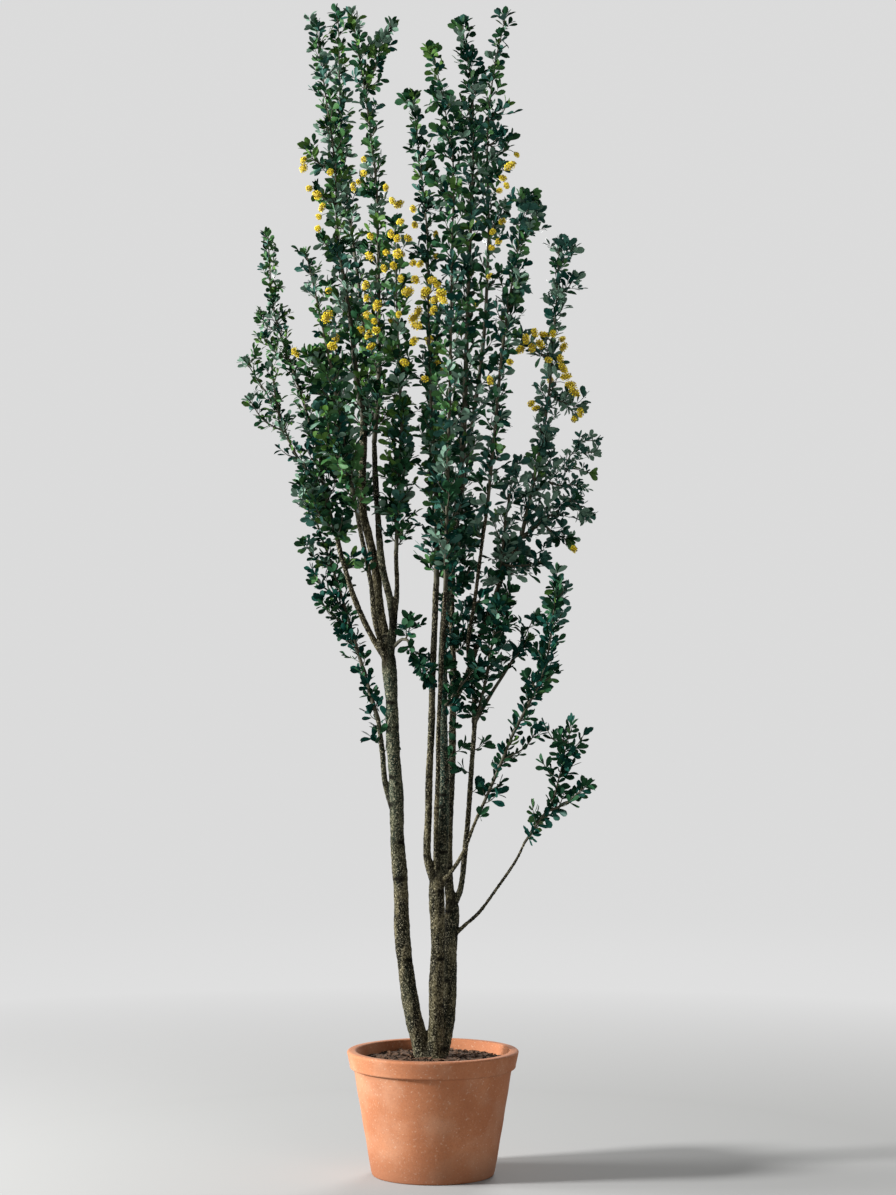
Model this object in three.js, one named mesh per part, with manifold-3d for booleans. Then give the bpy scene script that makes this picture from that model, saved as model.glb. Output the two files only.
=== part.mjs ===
// A potted, several-stemmed peashrub. Three stems rise from one stool in a plain clay pot and fork
// into upright boughs, which carry slender columns of leafy twigs with small yellow flower heads.
// Millimetres, +Z up. The origin is the middle of the pot's underside, and the plant faces -Y.
import * as THREE from "three";
import { mergeVertices } from "three/addons/utils/BufferGeometryUtils.js";
import Module from "manifold-3d";

const wasm = await Module();
wasm.setup();

// Driving dimensions of the pot and the soil in it
const POT_HEIGHT = 305;
const POT_TOP_RADIUS = 201;
const POT_FOOT_RADIUS = 150;
const POT_WALL = 14;
const POT_FLOOR = 18;
const POT_RIM_HEIGHT = 44;
const POT_RIM_LIP = 9;
const POT_SIDES = 26;
const DRAIN_RADIUS = 11;
const DRAIN_CIRCLE_RADIUS = 75;
const DRAIN_COUNT = 3;
const DRAIN_SIDES = 12;
const SOIL_TOP = 285;
const SOIL_EDGE_DROP = 7;
const SOIL_PLATEAU = 70;

// Driving dimensions of the wood. SINK is how deep a limb's curve starts inside the one it grows from.
const STOOL_TOP = 372;
const STOOL_FLARE_HEIGHT = 34;
const STOOL_FLARE_RADIUS = 41;
const STOOL_WAIST_RADIUS = 24;
const GAP = 0.3;
const SINK = 8;
const LIMB_SIDES = 7;
const LIMB_STEP = 118;
const FEWEST_STEPS = 3;

// Driving dimensions of the foliage. Angles are in radians, and shares are of the length in question.
const LEADER_SIDES = 3;
const LEADER_STEP = 115;
const LEADER_FOOT_RADIUS = 5.2;
const LEADER_JOINT_RADIUS = 3.8;
const LEADER_TIP_RADIUS = 2.6;
const LEADER_BARE = 0.04;
const FORK_SAG = 0.08;
const TWIG_SPACING = 166;
const TWIG_REACH = [0.375, 0.625];
const TWIG_FOOT_RADIUS = 3;
const TWIG_NECK_RADIUS = 1.8;
const TWIG_TILT = 0.75;
const TWIG_PLACE = 0.3;
const TWIG_LEAVES = [{ at: 0.45, side: Math.PI / 6 }, { at: 0.8, side: Math.PI * 5 / 6 }];
const LEAF_PLACE = 0.65;
const LEAF_TURN = Math.PI * 0.8;
const LEAF_LENGTHS = [70, 94];
const LEAF_WIDTH_SHARE = 0.44;
const LEAF_WIDEST_AT = 0.6;
const LEAF_THICKNESS = 3.2;
const LEAF_TILT = 0.8;
const LEAF_ROLL = 0.55;
const LEAF_SINK = 1.2;
const LEAF_STALK = 0.3;
const LEAF_CLEARANCE = 1.2;
const TIP_LEAVES = 4;
const TIP_LEAF_SPACING = 14;
const TIP_LEAF_TILTS = [0.16, 0.2];
const FLOWER_HEAD = [15, 15, 20];
const FLOWER_OUT = 9;
const GOLDEN_ANGLE = Math.PI * (3 - Math.sqrt(5));
const SEED = 4133;
const SEED_STEP = 7919;

// Each limb leaves its parent at a share of the parent's length and runs through a few places.
// thick is its diameter at the foot and at the tip.
const STEMS = [
  { name: "left_stem", thick: [42, 30],
    through: [[-14, 0, 270], [-50, -4, 400], [-67, -6, 500], [-80, -6, 700], [-94, -4, 1000],
      [-108, 0, 1262]] },
  { name: "middle_stem", thick: [37, 34],
    through: [[1, -8, 270], [8, -16, 400], [11, -20, 560], [10, -24, 722]] },
  { name: "right_stem", thick: [34, 31],
    through: [[14, 8, 270], [33, 20, 360], [42, 28, 450], [44, 32, 560], [46, 32, 655]] },
];
const BOUGHS = [
  { name: "left_mid_bough", parent: "left_stem", at: 1, thick: [25, 18],
    through: [[-130, 8, 1380], [-140, 14, 1480], [-158, 18, 1560], [-174, 22, 1650], [-170, 30, 1860]] },
  { name: "left_inner_bough", parent: "left_stem", at: 1, thick: [21, 13],
    through: [[-98, -12, 1340], [-104, -14, 1400], [-125, -16, 1500], [-137, -16, 1640],
      [-144, -12, 1800]] },
  { name: "left_fourth_bough", parent: "left_inner_bough", at: 0.17, thick: [14, 11],
    through: [[-88, -26, 1430], [-90, -36, 1530]] },
  { name: "left_thin_bough", parent: "left_stem", at: 0.96, thick: [14, 11],
    through: [[-140, -30, 1350], [-152, -40, 1450], [-183, -56, 1610]] },
  { name: "left_fork_bough", parent: "left_stem", at: 0.99, thick: [16, 12],
    through: [[-145, -6, 1310], [-190, -14, 1405], [-220, -20, 1500], [-233, -24, 1555]] },
  { name: "left_low_bough", parent: "left_stem", at: 0.6, thick: [16, 12],
    through: [[-115, 6, 950], [-124, 10, 1030], [-136, 14, 1120]] },
  { name: "middle_main_bough", parent: "middle_stem", at: 1, thick: [28, 17],
    through: [[25, -20, 800], [26, -8, 1000], [24, 2, 1250], [40, 8, 1500], [70, 12, 1710]] },
  { name: "middle_left_bough", parent: "middle_stem", at: 0.95, thick: [19, 15],
    through: [[-13, -34, 780], [-11, -40, 900], [-4, -50, 1100], [2, -62, 1300], [9, -68, 1450]] },
  { name: "middle_front_bough", parent: "middle_stem", at: 1, thick: [13, 10],
    through: [[7, -44, 800], [11, -62, 960], [16, -82, 1150], [30, -106, 1440]] },
  { name: "middle_thin_bough", parent: "middle_stem", at: 0.97, thick: [11, 8],
    through: [[42, -44, 742], [75, -58, 796], [100, -66, 860], [126, -76, 920]] },
  { name: "right_inner_bough", parent: "right_stem", at: 1, thick: [22, 13],
    through: [[37, 42, 740], [40, 50, 860], [47, 62, 1030], [50, 76, 1200], [46, 96, 1400],
      [52, 112, 1560]] },
  { name: "right_outer_bough", parent: "right_stem", at: 0.98, thick: [15, 12],
    through: [[68, 27, 700], [79, 20, 790], [90, 12, 930], [98, 4, 1040], [102, 0, 1115]] },
  { name: "right_low_bough", parent: "right_stem", at: 0.79, thick: [10, 7],
    through: [[78, 18, 608], [112, 8, 640], [154, -12, 698], [200, -40, 768], [225, -60, 822]] },
  { name: "right_slant_bough", parent: "right_inner_bough", at: 0.56, thick: [15, 11],
    through: [[85, 64, 1225], [130, 56, 1355], [180, 58, 1485], [222, 68, 1572]] },
  { name: "right_tall_bough", parent: "right_outer_bough", at: 1, thick: [11, 9],
    through: [[99, -8, 1180], [86, -24, 1290], [102, -46, 1410], [134, -74, 1650]] },
];

// Each mass of foliage has a leader that grows on from a limb, or from a mass below it. reach is how
// far its leaves stand out, fill how thickly its twigs stand, and bare the leafless share of the
// leader. forks are the ends of side leaders, each with the share it leaves at. flowers are the
// shares that flower heads stand at.
const MASSES = [
  { name: "left_low_foliage", parent: "left_low_bough", at: 1, reach: 50, fill: 1,
    through: [[-160, 24, 1195], [-195, 44, 1312], [-242, 70, 1465], [-308, 96, 1648]] },
  { name: "left_fork_foliage", parent: "left_fork_bough", at: 1, reach: 76, fill: 1.5,
    through: [[-262, -34, 1660], [-276, -40, 1760]], forks: [[0.1, [-312, -60, 1680]]] },
  { name: "left_spire_foliage", parent: "left_fork_foliage", at: 1, reach: 54, fill: 1,
    through: [[-316, -40, 1890], [-350, -20, 1990], [-390, 10, 2115], [-404, 30, 2260]] },
  { name: "left_outer_foliage", parent: "left_fork_foliage", at: 0.55, reach: 52, fill: 1,
    through: [[-335, -80, 1765], [-374, -120, 1860], [-436, -150, 1960]],
    forks: [[0.6, [-385, -190, 1965]]] },
  { name: "left_bush_foliage", parent: "left_thin_bough", at: 1, reach: 70, fill: 1.3,
    through: [[-210, -104, 1760], [-242, -160, 1955]],
    forks: [[0.25, [-262, -180, 1850]]], flowers: [0.92, 1] },
  { name: "left_wand_foliage", parent: "left_bush_foliage", at: 1, reach: 46, fill: 1,
    through: [[-268, -200, 2085], [-290, -225, 2185]] },
  { name: "left_tall_foliage", parent: "left_mid_bough", at: 1, reach: 60, fill: 1,
    through: [[-190, 40, 1960], [-202, 52, 2080], [-238, 76, 2305]], flowers: [0.35, 0.7] },
  { name: "left_tip_foliage", parent: "left_tall_foliage", at: 1, reach: 54, fill: 1.1,
    through: [[-244, 90, 2490], [-266, 106, 2650], [-290, 116, 2820]], flowers: [0.1, 0.22, 0.3] },
  { name: "second_foliage", parent: "left_mid_bough", at: 0.85, reach: 56, fill: 0.9,
    through: [[-166, 110, 1960], [-184, 180, 2170], [-220, 215, 2430]], flowers: [0.55, 0.85] },
  { name: "second_tip_foliage", parent: "second_foliage", at: 1, reach: 52, fill: 1,
    through: [[-234, 232, 2610], [-240, 244, 2835]], flowers: [0.15] },
  { name: "third_foliage", parent: "left_inner_bough", at: 1, reach: 58, fill: 1,
    through: [[-132, -16, 1980], [-134, -30, 2290]], flowers: [0.5, 0.62, 0.8, 0.9] },
  { name: "third_tip_foliage", parent: "third_foliage", at: 1, reach: 48, fill: 1,
    through: [[-140, -36, 2440], [-162, -42, 2620], [-190, -46, 2790]],
    forks: [[0.66, [-126, -50, 2755]]], flowers: [0.2, 0.3] },
  { name: "fourth_foliage", parent: "left_fourth_bough", at: 1, reach: 60, fill: 1.4,
    through: [[-84, -60, 1680], [-74, -84, 1850]] },
  { name: "fourth_tip_foliage", parent: "fourth_foliage", at: 1, reach: 56, fill: 1,
    through: [[-84, -118, 2040], [-90, -150, 2265]], flowers: [0.25, 0.55, 0.9, 1] },
  { name: "left_drooping_foliage", parent: "left_inner_bough", at: 0.06, reach: 46, fill: 2, bare: 0.45,
    through: [[-66, -40, 1312], [-34, -60, 1256]] },
  { name: "centre_left_foliage", parent: "middle_left_bough", at: 1, reach: 62, fill: 1.2,
    through: [[8, -86, 1640], [-4, -104, 1860]] },
  { name: "centre_left_tip_foliage", parent: "centre_left_foliage", at: 1, reach: 50, fill: 0.9,
    through: [[-10, -130, 2080], [-14, -150, 2295], [-42, -164, 2560]],
    flowers: [0.27, 0.4, 0.48, 0.55, 0.66] },
  { name: "front_foliage", parent: "middle_front_bough", at: 1, reach: 60, fill: 1,
    through: [[36, -160, 1700], [42, -205, 1950]], flowers: [0.96] },
  { name: "front_tip_foliage", parent: "front_foliage", at: 1, reach: 54, fill: 1,
    through: [[46, -236, 2235], [48, -250, 2450], [12, -252, 2655]], flowers: [0.25, 0.31, 0.37] },
  { name: "centre_foliage", parent: "middle_main_bough", at: 1, reach: 66, fill: 1.3,
    through: [[78, 18, 1900], [84, 24, 2100], [92, 30, 2300]] },
  { name: "centre_tip_foliage", parent: "centre_foliage", at: 1, reach: 62, fill: 1.4,
    through: [[98, 38, 2500], [94, 44, 2680], [76, 48, 2800]] },
  { name: "inner_foliage", parent: "right_inner_bough", at: 1, reach: 62, fill: 1.1,
    through: [[90, 145, 1800], [126, 180, 2060], [140, 205, 2340]], flowers: [0.8, 0.9] },
  { name: "inner_tip_foliage", parent: "inner_foliage", at: 1, reach: 56, fill: 1.2,
    through: [[136, 222, 2570], [152, 230, 2740], [172, 234, 2835]], flowers: [0.2, 0.3] },
  { name: "back_foliage", parent: "right_inner_bough", at: 0.93, reach: 70, fill: 1,
    through: [[16, 210, 1720], [2, 290, 1900], [10, 340, 2100]] },
  { name: "back_left_foliage", parent: "left_mid_bough", at: 0.6, reach: 66, fill: 1,
    through: [[-205, 130, 1750], [-240, 230, 1930], [-250, 290, 2090]] },
  { name: "stem_tuft_foliage", parent: "middle_main_bough", at: 0.43, reach: 46, fill: 2,
    through: [[58, -36, 1185], [82, -52, 1215]] },
  { name: "right_fork_foliage", parent: "right_outer_bough", at: 0.96, reach: 54, fill: 1.1,
    through: [[124, -22, 1190], [140, -50, 1280], [152, -74, 1350]] },
  { name: "right_shelf_foliage", parent: "right_outer_bough", at: 1, reach: 52, fill: 1.6, bare: 0.45,
    through: [[145, 30, 1180], [188, 62, 1245], [228, 92, 1320]] },
  { name: "right_bush_foliage", parent: "right_slant_bough", at: 0.7, reach: 66, fill: 1.5,
    through: [[178, 26, 1600], [200, 0, 1730]], forks: [[0.15, [256, 10, 1500]]] },
  { name: "right_tall_foliage", parent: "right_tall_bough", at: 1, reach: 52, fill: 0.9,
    through: [[152, -100, 1840], [166, -130, 2005]], flowers: [0.75, 0.9] },
  { name: "right_tall_tip_foliage", parent: "right_tall_foliage", at: 1, reach: 58, fill: 1.3,
    through: [[184, -144, 2130], [218, -156, 2325]] },
  { name: "right_ledge_foliage", parent: "right_slant_bough", at: 0.97, reach: 60, fill: 1.8,
    through: [[286, 60, 1612], [338, 48, 1650]], forks: [[0.4, [322, 36, 1560]]] },
  { name: "right_spire_foliage", parent: "right_slant_bough", at: 1, reach: 54, fill: 1,
    through: [[248, 84, 1700], [284, 116, 1890], [302, 138, 2085], [312, 146, 2240]],
    forks: [[0.62, [222, 110, 2055]], [0.5, [352, 120, 1890]]], flowers: [0.25, 0.6, 0.7] },
  { name: "right_crest_foliage", parent: "right_spire_foliage", at: 0.14, reach: 64, fill: 1.7,
    through: [[306, 140, 1720], [366, 200, 1800]], forks: [[0.3, [350, 156, 1695]]] },
  { name: "low_right_foliage", parent: "middle_thin_bough", at: 1, reach: 46, fill: 1,
    through: [[160, -94, 1000], [190, -106, 1075], [228, -120, 1150]] },
  { name: "low_right_tip_foliage", parent: "low_right_foliage", at: 1, reach: 60, fill: 1.3,
    through: [[266, -150, 1232], [286, -172, 1345], [296, -186, 1460]] },
  { name: "lowest_foliage", parent: "right_low_bough", at: 1, reach: 50, fill: 1.5,
    through: [[262, -96, 880], [290, -122, 925], [322, -160, 1062]], forks: [[0.35, [362, -150, 955]]] },
];

// Materials
const finish = (color, roughness) => new THREE.MeshStandardMaterial({ color, roughness, metalness: 0 });
const clay = finish(0xa5603f, 0.85);
const earth = finish(0x3a2a1e, 1);
const bark = finish(0x6a6248, 0.9);
const leafGreen = finish(0x2d4536, 0.6);

// A repeatable source of numbers from 0 to 1
function seededNumbers(seed) {
  let state = seed >>> 0;
  return () => {
    state = (state + 0x6d2b79f5) >>> 0;
    let mixed = Math.imul(state ^ (state >>> 15), state | 1);
    mixed = (mixed + Math.imul(mixed ^ (mixed >>> 7), mixed | 61)) ^ mixed;
    return ((mixed ^ (mixed >>> 14)) >>> 0) / 4294967296;
  };
}

// A closed geometry as a solid that can be joined and cut
function toSolid(geometry) {
  const bare = geometry.clone();
  bare.deleteAttribute("normal");
  bare.deleteAttribute("uv");
  const merged = mergeVertices(bare, 1e-4);
  return new wasm.Manifold(new wasm.Mesh({
    numProp: 3,
    vertProperties: new Float32Array(merged.attributes.position.array),
    triVerts: new Uint32Array(merged.index.array),
  }));
}

// The geometry of the largest body in a solid, without scraps or sealed hollows
function toGeometry(solid) {
  const bodies = solid.decompose();
  const largest = bodies.reduce((best, body) => (body.volume() > best.volume() ? body : best));
  const mesh = largest.getMesh();
  const geometry = new THREE.BufferGeometry();
  geometry.setAttribute("position", new THREE.BufferAttribute(new Float32Array(mesh.vertProperties), 3));
  geometry.setIndex(new THREE.BufferAttribute(new Uint32Array(mesh.triVerts), 1));
  return geometry;
}

const lerp = THREE.MathUtils.lerp;
const smoothCurve = (places) => new THREE.CatmullRomCurve3(
  places.map((place) => new THREE.Vector3(...place)), false, "catmullrom", 0.5);

// Turns a profile of [radius, height] pairs about the upright axis
const turned = (profile, sides) => new THREE.LatheGeometry(
  profile.map(([radius, height]) => new THREE.Vector2(radius, height)), sides).rotateX(Math.PI / 2);

// A limb or leader as data: its curve, its radius at foot and tip, and how finely it is made
const limbFrom = (places, footRadius, tipRadius, sides, step) => (
  { curve: smoothCurve(places), radii: [footRadius, tipRadius], sides, step });

const radiusAt = (limb, share) => lerp(...limb.radii, Math.min(share, 1));

// A limb's solid: a round bar with closed ends, bent along its curve. skin is added all over.
function barOf(limb, skin = 0) {
  const { curve, sides } = limb;
  const steps = Math.max(FEWEST_STEPS, Math.round(curve.getLength() / limb.step));
  const frames = curve.computeFrenetFrames(steps, false);
  const bar = new THREE.CylinderGeometry(1, 1, 1, sides, steps);
  const corners = bar.attributes.position;
  for (let i = 0; i < corners.count; i += 1) {
    const ring = Math.round((corners.getY(i) + 0.5) * steps);
    const radius = radiusAt(limb, ring / steps) + skin;
    const lengthen = ring === 0 ? -skin : ring === steps ? skin : 0;
    const place = curve.getPointAt(ring / steps)
      .addScaledVector(frames.tangents[ring], lengthen)
      .addScaledVector(frames.binormals[ring], corners.getX(i) * radius)
      .addScaledVector(frames.normals[ring], corners.getZ(i) * radius);
    corners.setXYZ(i, place.x, place.y, place.z);
  }
  return toSolid(bar);
}

// The place inside its parent that a limb starts from
function footOn(parent, at) {
  const share = Math.min(at, 1 - SINK / parent.curve.getLength());
  return parent.curve.getPointAt(share).toArray();
}

// Solids as obstacles, with the boxes that they fill
const asObstacle = (solid) => ({ solid, box: solid.boundingBox() });

function boxesMeet(a, b) {
  return [0, 1, 2].every((axis) => a.min[axis] <= b.max[axis] && b.min[axis] <= a.max[axis]);
}

function isClear(piece, obstacles) {
  const box = piece.boundingBox();
  return obstacles.filter((obstacle) => boxesMeet(box, obstacle.box))
    .every((obstacle) => piece.intersect(obstacle.solid).isEmpty());
}

function cutClear(piece, obstacles) {
  const box = piece.boundingBox();
  return obstacles.filter((obstacle) => boxesMeet(box, obstacle.box))
    .reduce((left, obstacle) => left.subtract(obstacle.solid), piece);
}

// Pot: turned with a rim band, and drained by holes set round the middle of its floor
const potRadiusAt = (height) => lerp(POT_FOOT_RADIUS, POT_TOP_RADIUS, height / POT_HEIGHT);

function makePot() {
  const bandFoot = POT_HEIGHT - POT_RIM_HEIGHT;
  let pot = toSolid(turned([
    [0, 0], [POT_FOOT_RADIUS, 0],
    [potRadiusAt(bandFoot), bandFoot], [potRadiusAt(bandFoot) + POT_RIM_LIP, bandFoot],
    [POT_TOP_RADIUS + POT_RIM_LIP, POT_HEIGHT], [POT_TOP_RADIUS - POT_WALL, POT_HEIGHT],
    [potRadiusAt(POT_FLOOR) - POT_WALL, POT_FLOOR], [0, POT_FLOOR],
  ], POT_SIDES));
  for (let i = 0; i < DRAIN_COUNT; i += 1) {
    const hole = new THREE.CylinderGeometry(DRAIN_RADIUS, DRAIN_RADIUS, 3 * POT_FLOOR, DRAIN_SIDES)
      .rotateX(Math.PI / 2)
      .translate(DRAIN_CIRCLE_RADIUS, 0, 0)
      .rotateZ(2 * Math.PI * i / DRAIN_COUNT);
    pot = pot.subtract(toSolid(hole));
  }
  return toGeometry(pot);
}

// Soil: fills the pot to just under its rim, flat round the stool and a little lower at the wall
function makeSoil() {
  const foot = POT_FLOOR + GAP;
  const edge = SOIL_TOP - SOIL_EDGE_DROP;
  const inset = POT_WALL + GAP;
  return turned([
    [0, foot], [potRadiusAt(foot) - inset, foot], [potRadiusAt(edge) - inset, edge],
    [SOIL_PLATEAU, SOIL_TOP], [0, SOIL_TOP],
  ], POT_SIDES);
}

// Wood
const limbs = new Map();
const solids = new Map();

function levelSlab(bottom, top) {
  const width = 2 * POT_HEIGHT;
  return toSolid(new THREE.BoxGeometry(width, width, top - bottom).translate(0, 0, (bottom + top) / 2));
}

// The three stems, cut off level above the stool that joins their feet
function growStems() {
  const ground = SOIL_TOP + GAP;
  const waist = SOIL_TOP + STOOL_FLARE_HEIGHT;
  let stool = toSolid(turned([
    [0, ground], [STOOL_FLARE_RADIUS, ground], [STOOL_WAIST_RADIUS, waist], [0, waist],
  ], LIMB_SIDES));
  const below = levelSlab(ground, STOOL_TOP);
  const above = levelSlab(STOOL_TOP + GAP, STOOL_TOP + 3 * POT_HEIGHT);
  for (const { name, thick, through } of STEMS) {
    const stem = limbFrom(through, thick[0] / 2, thick[1] / 2, LIMB_SIDES, LIMB_STEP);
    const whole = barOf(stem);
    stool = stool.add(whole.intersect(below));
    limbs.set(name, stem);
    solids.set(name, { solid: whole.intersect(above), material: bark });
  }
  solids.set("root_crown", { solid: stool, material: bark });
}

// The boughs, each cut clear of the limbs before it
function growBoughs() {
  for (const { name, parent, at, thick, through } of BOUGHS) {
    const places = [footOn(limbs.get(parent), at), ...through];
    const bough = limbFrom(places, thick[0] / 2, thick[1] / 2, LIMB_SIDES, LIMB_STEP);
    const earlier = [...limbs.values()].map((limb) => asObstacle(barOf(limb, GAP)));
    limbs.set(name, bough);
    solids.set(name, { solid: cutClear(barOf(bough), earlier), material: bark });
  }
}

// A form with three sides through a row of rings. A ring is a place along it, a half width, a drop
// and a rise, and a ring of no size is a point.
function threeSided(rings) {
  const corners = rings.flatMap(([along, halfWidth, drop, rise]) => [
    [-halfWidth, -drop, along], [halfWidth, -drop, along], [0, rise, along],
  ]);
  const faces = [[0, 2, 1]];
  for (let ring = 0; ring < rings.length - 1; ring += 1) {
    for (let side = 0; side < 3; side += 1) {
      const [here, next] = [3 * ring + side, 3 * ring + (side + 1) % 3];
      faces.push([here, next, next + 3], [here, next + 3, here + 3]);
    }
  }
  const last = corners.length - 3;
  faces.push([last, last + 1, last + 2]);
  const places = corners.map((corner) => new THREE.Vector3(...corner));
  return new THREE.BufferGeometry().setFromPoints(places).setIndex(faces.flat());
}

const roundRing = (along, radius) => [along, radius * Math.cos(Math.PI / 6), radius / 2, radius];

// A leaf blade: flat below and ridged above, widest towards its tip
const bladeRings = (start, length) => [
  [start + length * LEAF_WIDEST_AT, length * LEAF_WIDTH_SHARE / 2, 0, LEAF_THICKNESS],
  [start + length, 0, 0, 0],
];

const leafForm = (length) => threeSided([[-LEAF_SINK, 0, 0, 0], ...bladeRings(0, length)]);

// A twig that ends in a leaf
const twigForm = (stalk, length) => threeSided([
  roundRing(0, TWIG_FOOT_RADIUS), roundRing(stalk, TWIG_NECK_RADIUS), ...bladeRings(stalk, length),
]);

// The space that a leaf needs, from a place along its stalk on
function leafSpace(start, length) {
  const halfWidth = length * LEAF_WIDTH_SHARE / 2 + LEAF_CLEARANCE;
  const halfDepth = LEAF_THICKNESS + LEAF_CLEARANCE;
  const space = new THREE.OctahedronGeometry(1);
  const corners = space.attributes.position;
  for (let i = 0; i < corners.count; i += 1) {
    const end = Math.round(corners.getZ(i));
    const along = end > 0 ? length + LEAF_CLEARANCE : end < 0 ? start : length * LEAF_WIDEST_AT;
    corners.setXYZ(i, corners.getX(i) * halfWidth, corners.getY(i) * halfDepth, along);
  }
  return space;
}

function stalkSpace(stalk) {
  const radius = TWIG_FOOT_RADIUS + LEAF_CLEARANCE;
  return threeSided([roundRing(2 * radius, radius), roundRing(stalk, radius)]);
}

const placed = (form, frame) => toSolid(form.clone().applyMatrix4(frame));

// The frame of something that grows from a stem's frame: along it, at an angle round it, a distance
// out from its middle, tilted away from it, and rolled about its own length
function grownFrame(frame, along, angle, out, tilt, roll) {
  return frame.clone()
    .multiply(new THREE.Matrix4().makeTranslation(0, 0, along))
    .multiply(new THREE.Matrix4().makeRotationZ(angle))
    .multiply(new THREE.Matrix4().makeTranslation(out, 0, 0))
    .multiply(new THREE.Matrix4().makeRotationY(tilt))
    .multiply(new THREE.Matrix4().makeRotationZ(roll));
}

// The frame of something that grows from a leader, at a share of its length
function leaderFrame(leader, share, angle, out, tilt, roll) {
  const turn = new THREE.Quaternion()
    .setFromUnitVectors(new THREE.Vector3(0, 0, 1), leader.curve.getTangentAt(share));
  const frame = new THREE.Matrix4().makeRotationFromQuaternion(turn)
    .setPosition(leader.curve.getPointAt(share));
  return grownFrame(frame, 0, angle, out, tilt, roll);
}

// One mass while it grows: its pieces, the blades among them, and what it must stay clear of
class Growth {
  constructor(random, obstacles) {
    this.random = random;
    this.obstacles = obstacles;
    this.pieces = [];
    this.blades = [];
  }

  // Keeps a form, and its blade, only where both are clear
  keep(form, frame, blade, spaces) {
    const isFree = isClear(blade.solid, this.blades)
      && spaces.every((space) => isClear(space, this.obstacles));
    if (isFree) {
      this.pieces.push(placed(form, frame));
      this.blades.push(blade);
    }
    return isFree;
  }

  growLeaf(frame) {
    const length = lerp(...LEAF_LENGTHS, this.random());
    const blade = asObstacle(placed(leafSpace(length * LEAF_STALK, length), frame));
    this.keep(leafForm(length), frame, blade, [placed(leafSpace(LEAF_SINK, length), frame)]);
  }

  growTwig(frame, reach) {
    const stalk = reach * lerp(...TWIG_REACH, this.random());
    const length = lerp(...LEAF_LENGTHS, this.random());
    const end = grownFrame(frame, stalk, 0, 0, 0, 0);
    const blade = asObstacle(placed(leafSpace(length * LEAF_STALK, length), end));
    const spaces = [placed(stalkSpace(stalk), frame), placed(leafSpace(0, length), end)];
    if (this.keep(twigForm(stalk, length), frame, blade, spaces)) {
      for (const { at, side } of TWIG_LEAVES) {
        const radius = lerp(TWIG_FOOT_RADIUS, TWIG_NECK_RADIUS, at);
        this.growLeaf(grownFrame(frame, stalk * at, side, radius / 2, LEAF_TILT, 0));
      }
    }
  }

  growFlower(leader, share, angle) {
    const frame = leaderFrame(leader, share, angle, FLOWER_OUT, 0, 0);
    const head = placed(new THREE.OctahedronGeometry(1).scale(...FLOWER_HEAD), frame);
    if (isClear(head, this.obstacles)) {
      this.pieces.push(head);
    }
  }

  // Twigs and leaves turn round the leader by the golden angle, and a free tip ends in a tuft
  growLeader(leader, { reach, fill, bare = LEADER_BARE }, hasFreeTip) {
    this.pieces.push(barOf(leader));
    const length = leader.curve.getLength();
    const count = Math.max(1, Math.round(length * (1 - bare) * fill / TWIG_SPACING));
    const shareAt = (place) => bare + (1 - bare) * place / count;
    const rollAtRandom = () => LEAF_ROLL * (2 * this.random() - 1);
    const phase = this.random() * Math.PI * 2;
    for (let i = 0; i < count; i += 1) {
      const angle = phase + i * GOLDEN_ANGLE;
      const [twigShare, leafShare] = [shareAt(i + TWIG_PLACE), shareAt(i + LEAF_PLACE)];
      const twigOut = radiusAt(leader, twigShare) / 2;
      const leafOut = radiusAt(leader, leafShare) / 2;
      this.growTwig(leaderFrame(leader, twigShare, angle, twigOut, TWIG_TILT, rollAtRandom()), reach);
      this.growLeaf(leaderFrame(leader, leafShare, angle + LEAF_TURN, leafOut, LEAF_TILT, rollAtRandom()));
    }
    for (let i = 0; hasFreeTip && i < TIP_LEAVES; i += 1) {
      const share = 1 - i * TIP_LEAF_SPACING / length;
      const angle = phase + (count + i) * GOLDEN_ANGLE;
      const tilt = TIP_LEAF_TILTS[0] + TIP_LEAF_TILTS[1] * i;
      this.growLeaf(leaderFrame(leader, share, angle, radiusAt(leader, share) / 2, tilt, 0));
    }
  }
}

const carries = (mass) => MASSES.some(({ parent, at }) => parent === mass.name && at === 1);

// A mass's main leader, then its side leaders, which sag a little on their way
function leadersOf(mass) {
  const parent = limbs.get(mass.parent);
  const footRadius = Math.min(LEADER_FOOT_RADIUS, radiusAt(parent, mass.at));
  const tipRadius = carries(mass) ? LEADER_JOINT_RADIUS : LEADER_TIP_RADIUS;
  const places = [footOn(parent, mass.at), ...mass.through];
  const main = limbFrom(places, footRadius, tipRadius, LEADER_SIDES, LEADER_STEP);
  const sides = (mass.forks ?? []).map(([at, end]) => {
    const start = main.curve.getPointAt(at);
    const middle = start.clone().lerp(new THREE.Vector3(...end), 0.5);
    middle.z -= start.distanceTo(middle) * 2 * FORK_SAG;
    const fork = [start.toArray(), middle.toArray(), end];
    return limbFrom(fork, LEADER_JOINT_RADIUS, LEADER_TIP_RADIUS, LEADER_SIDES, LEADER_STEP);
  });
  return [main, ...sides];
}

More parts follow.
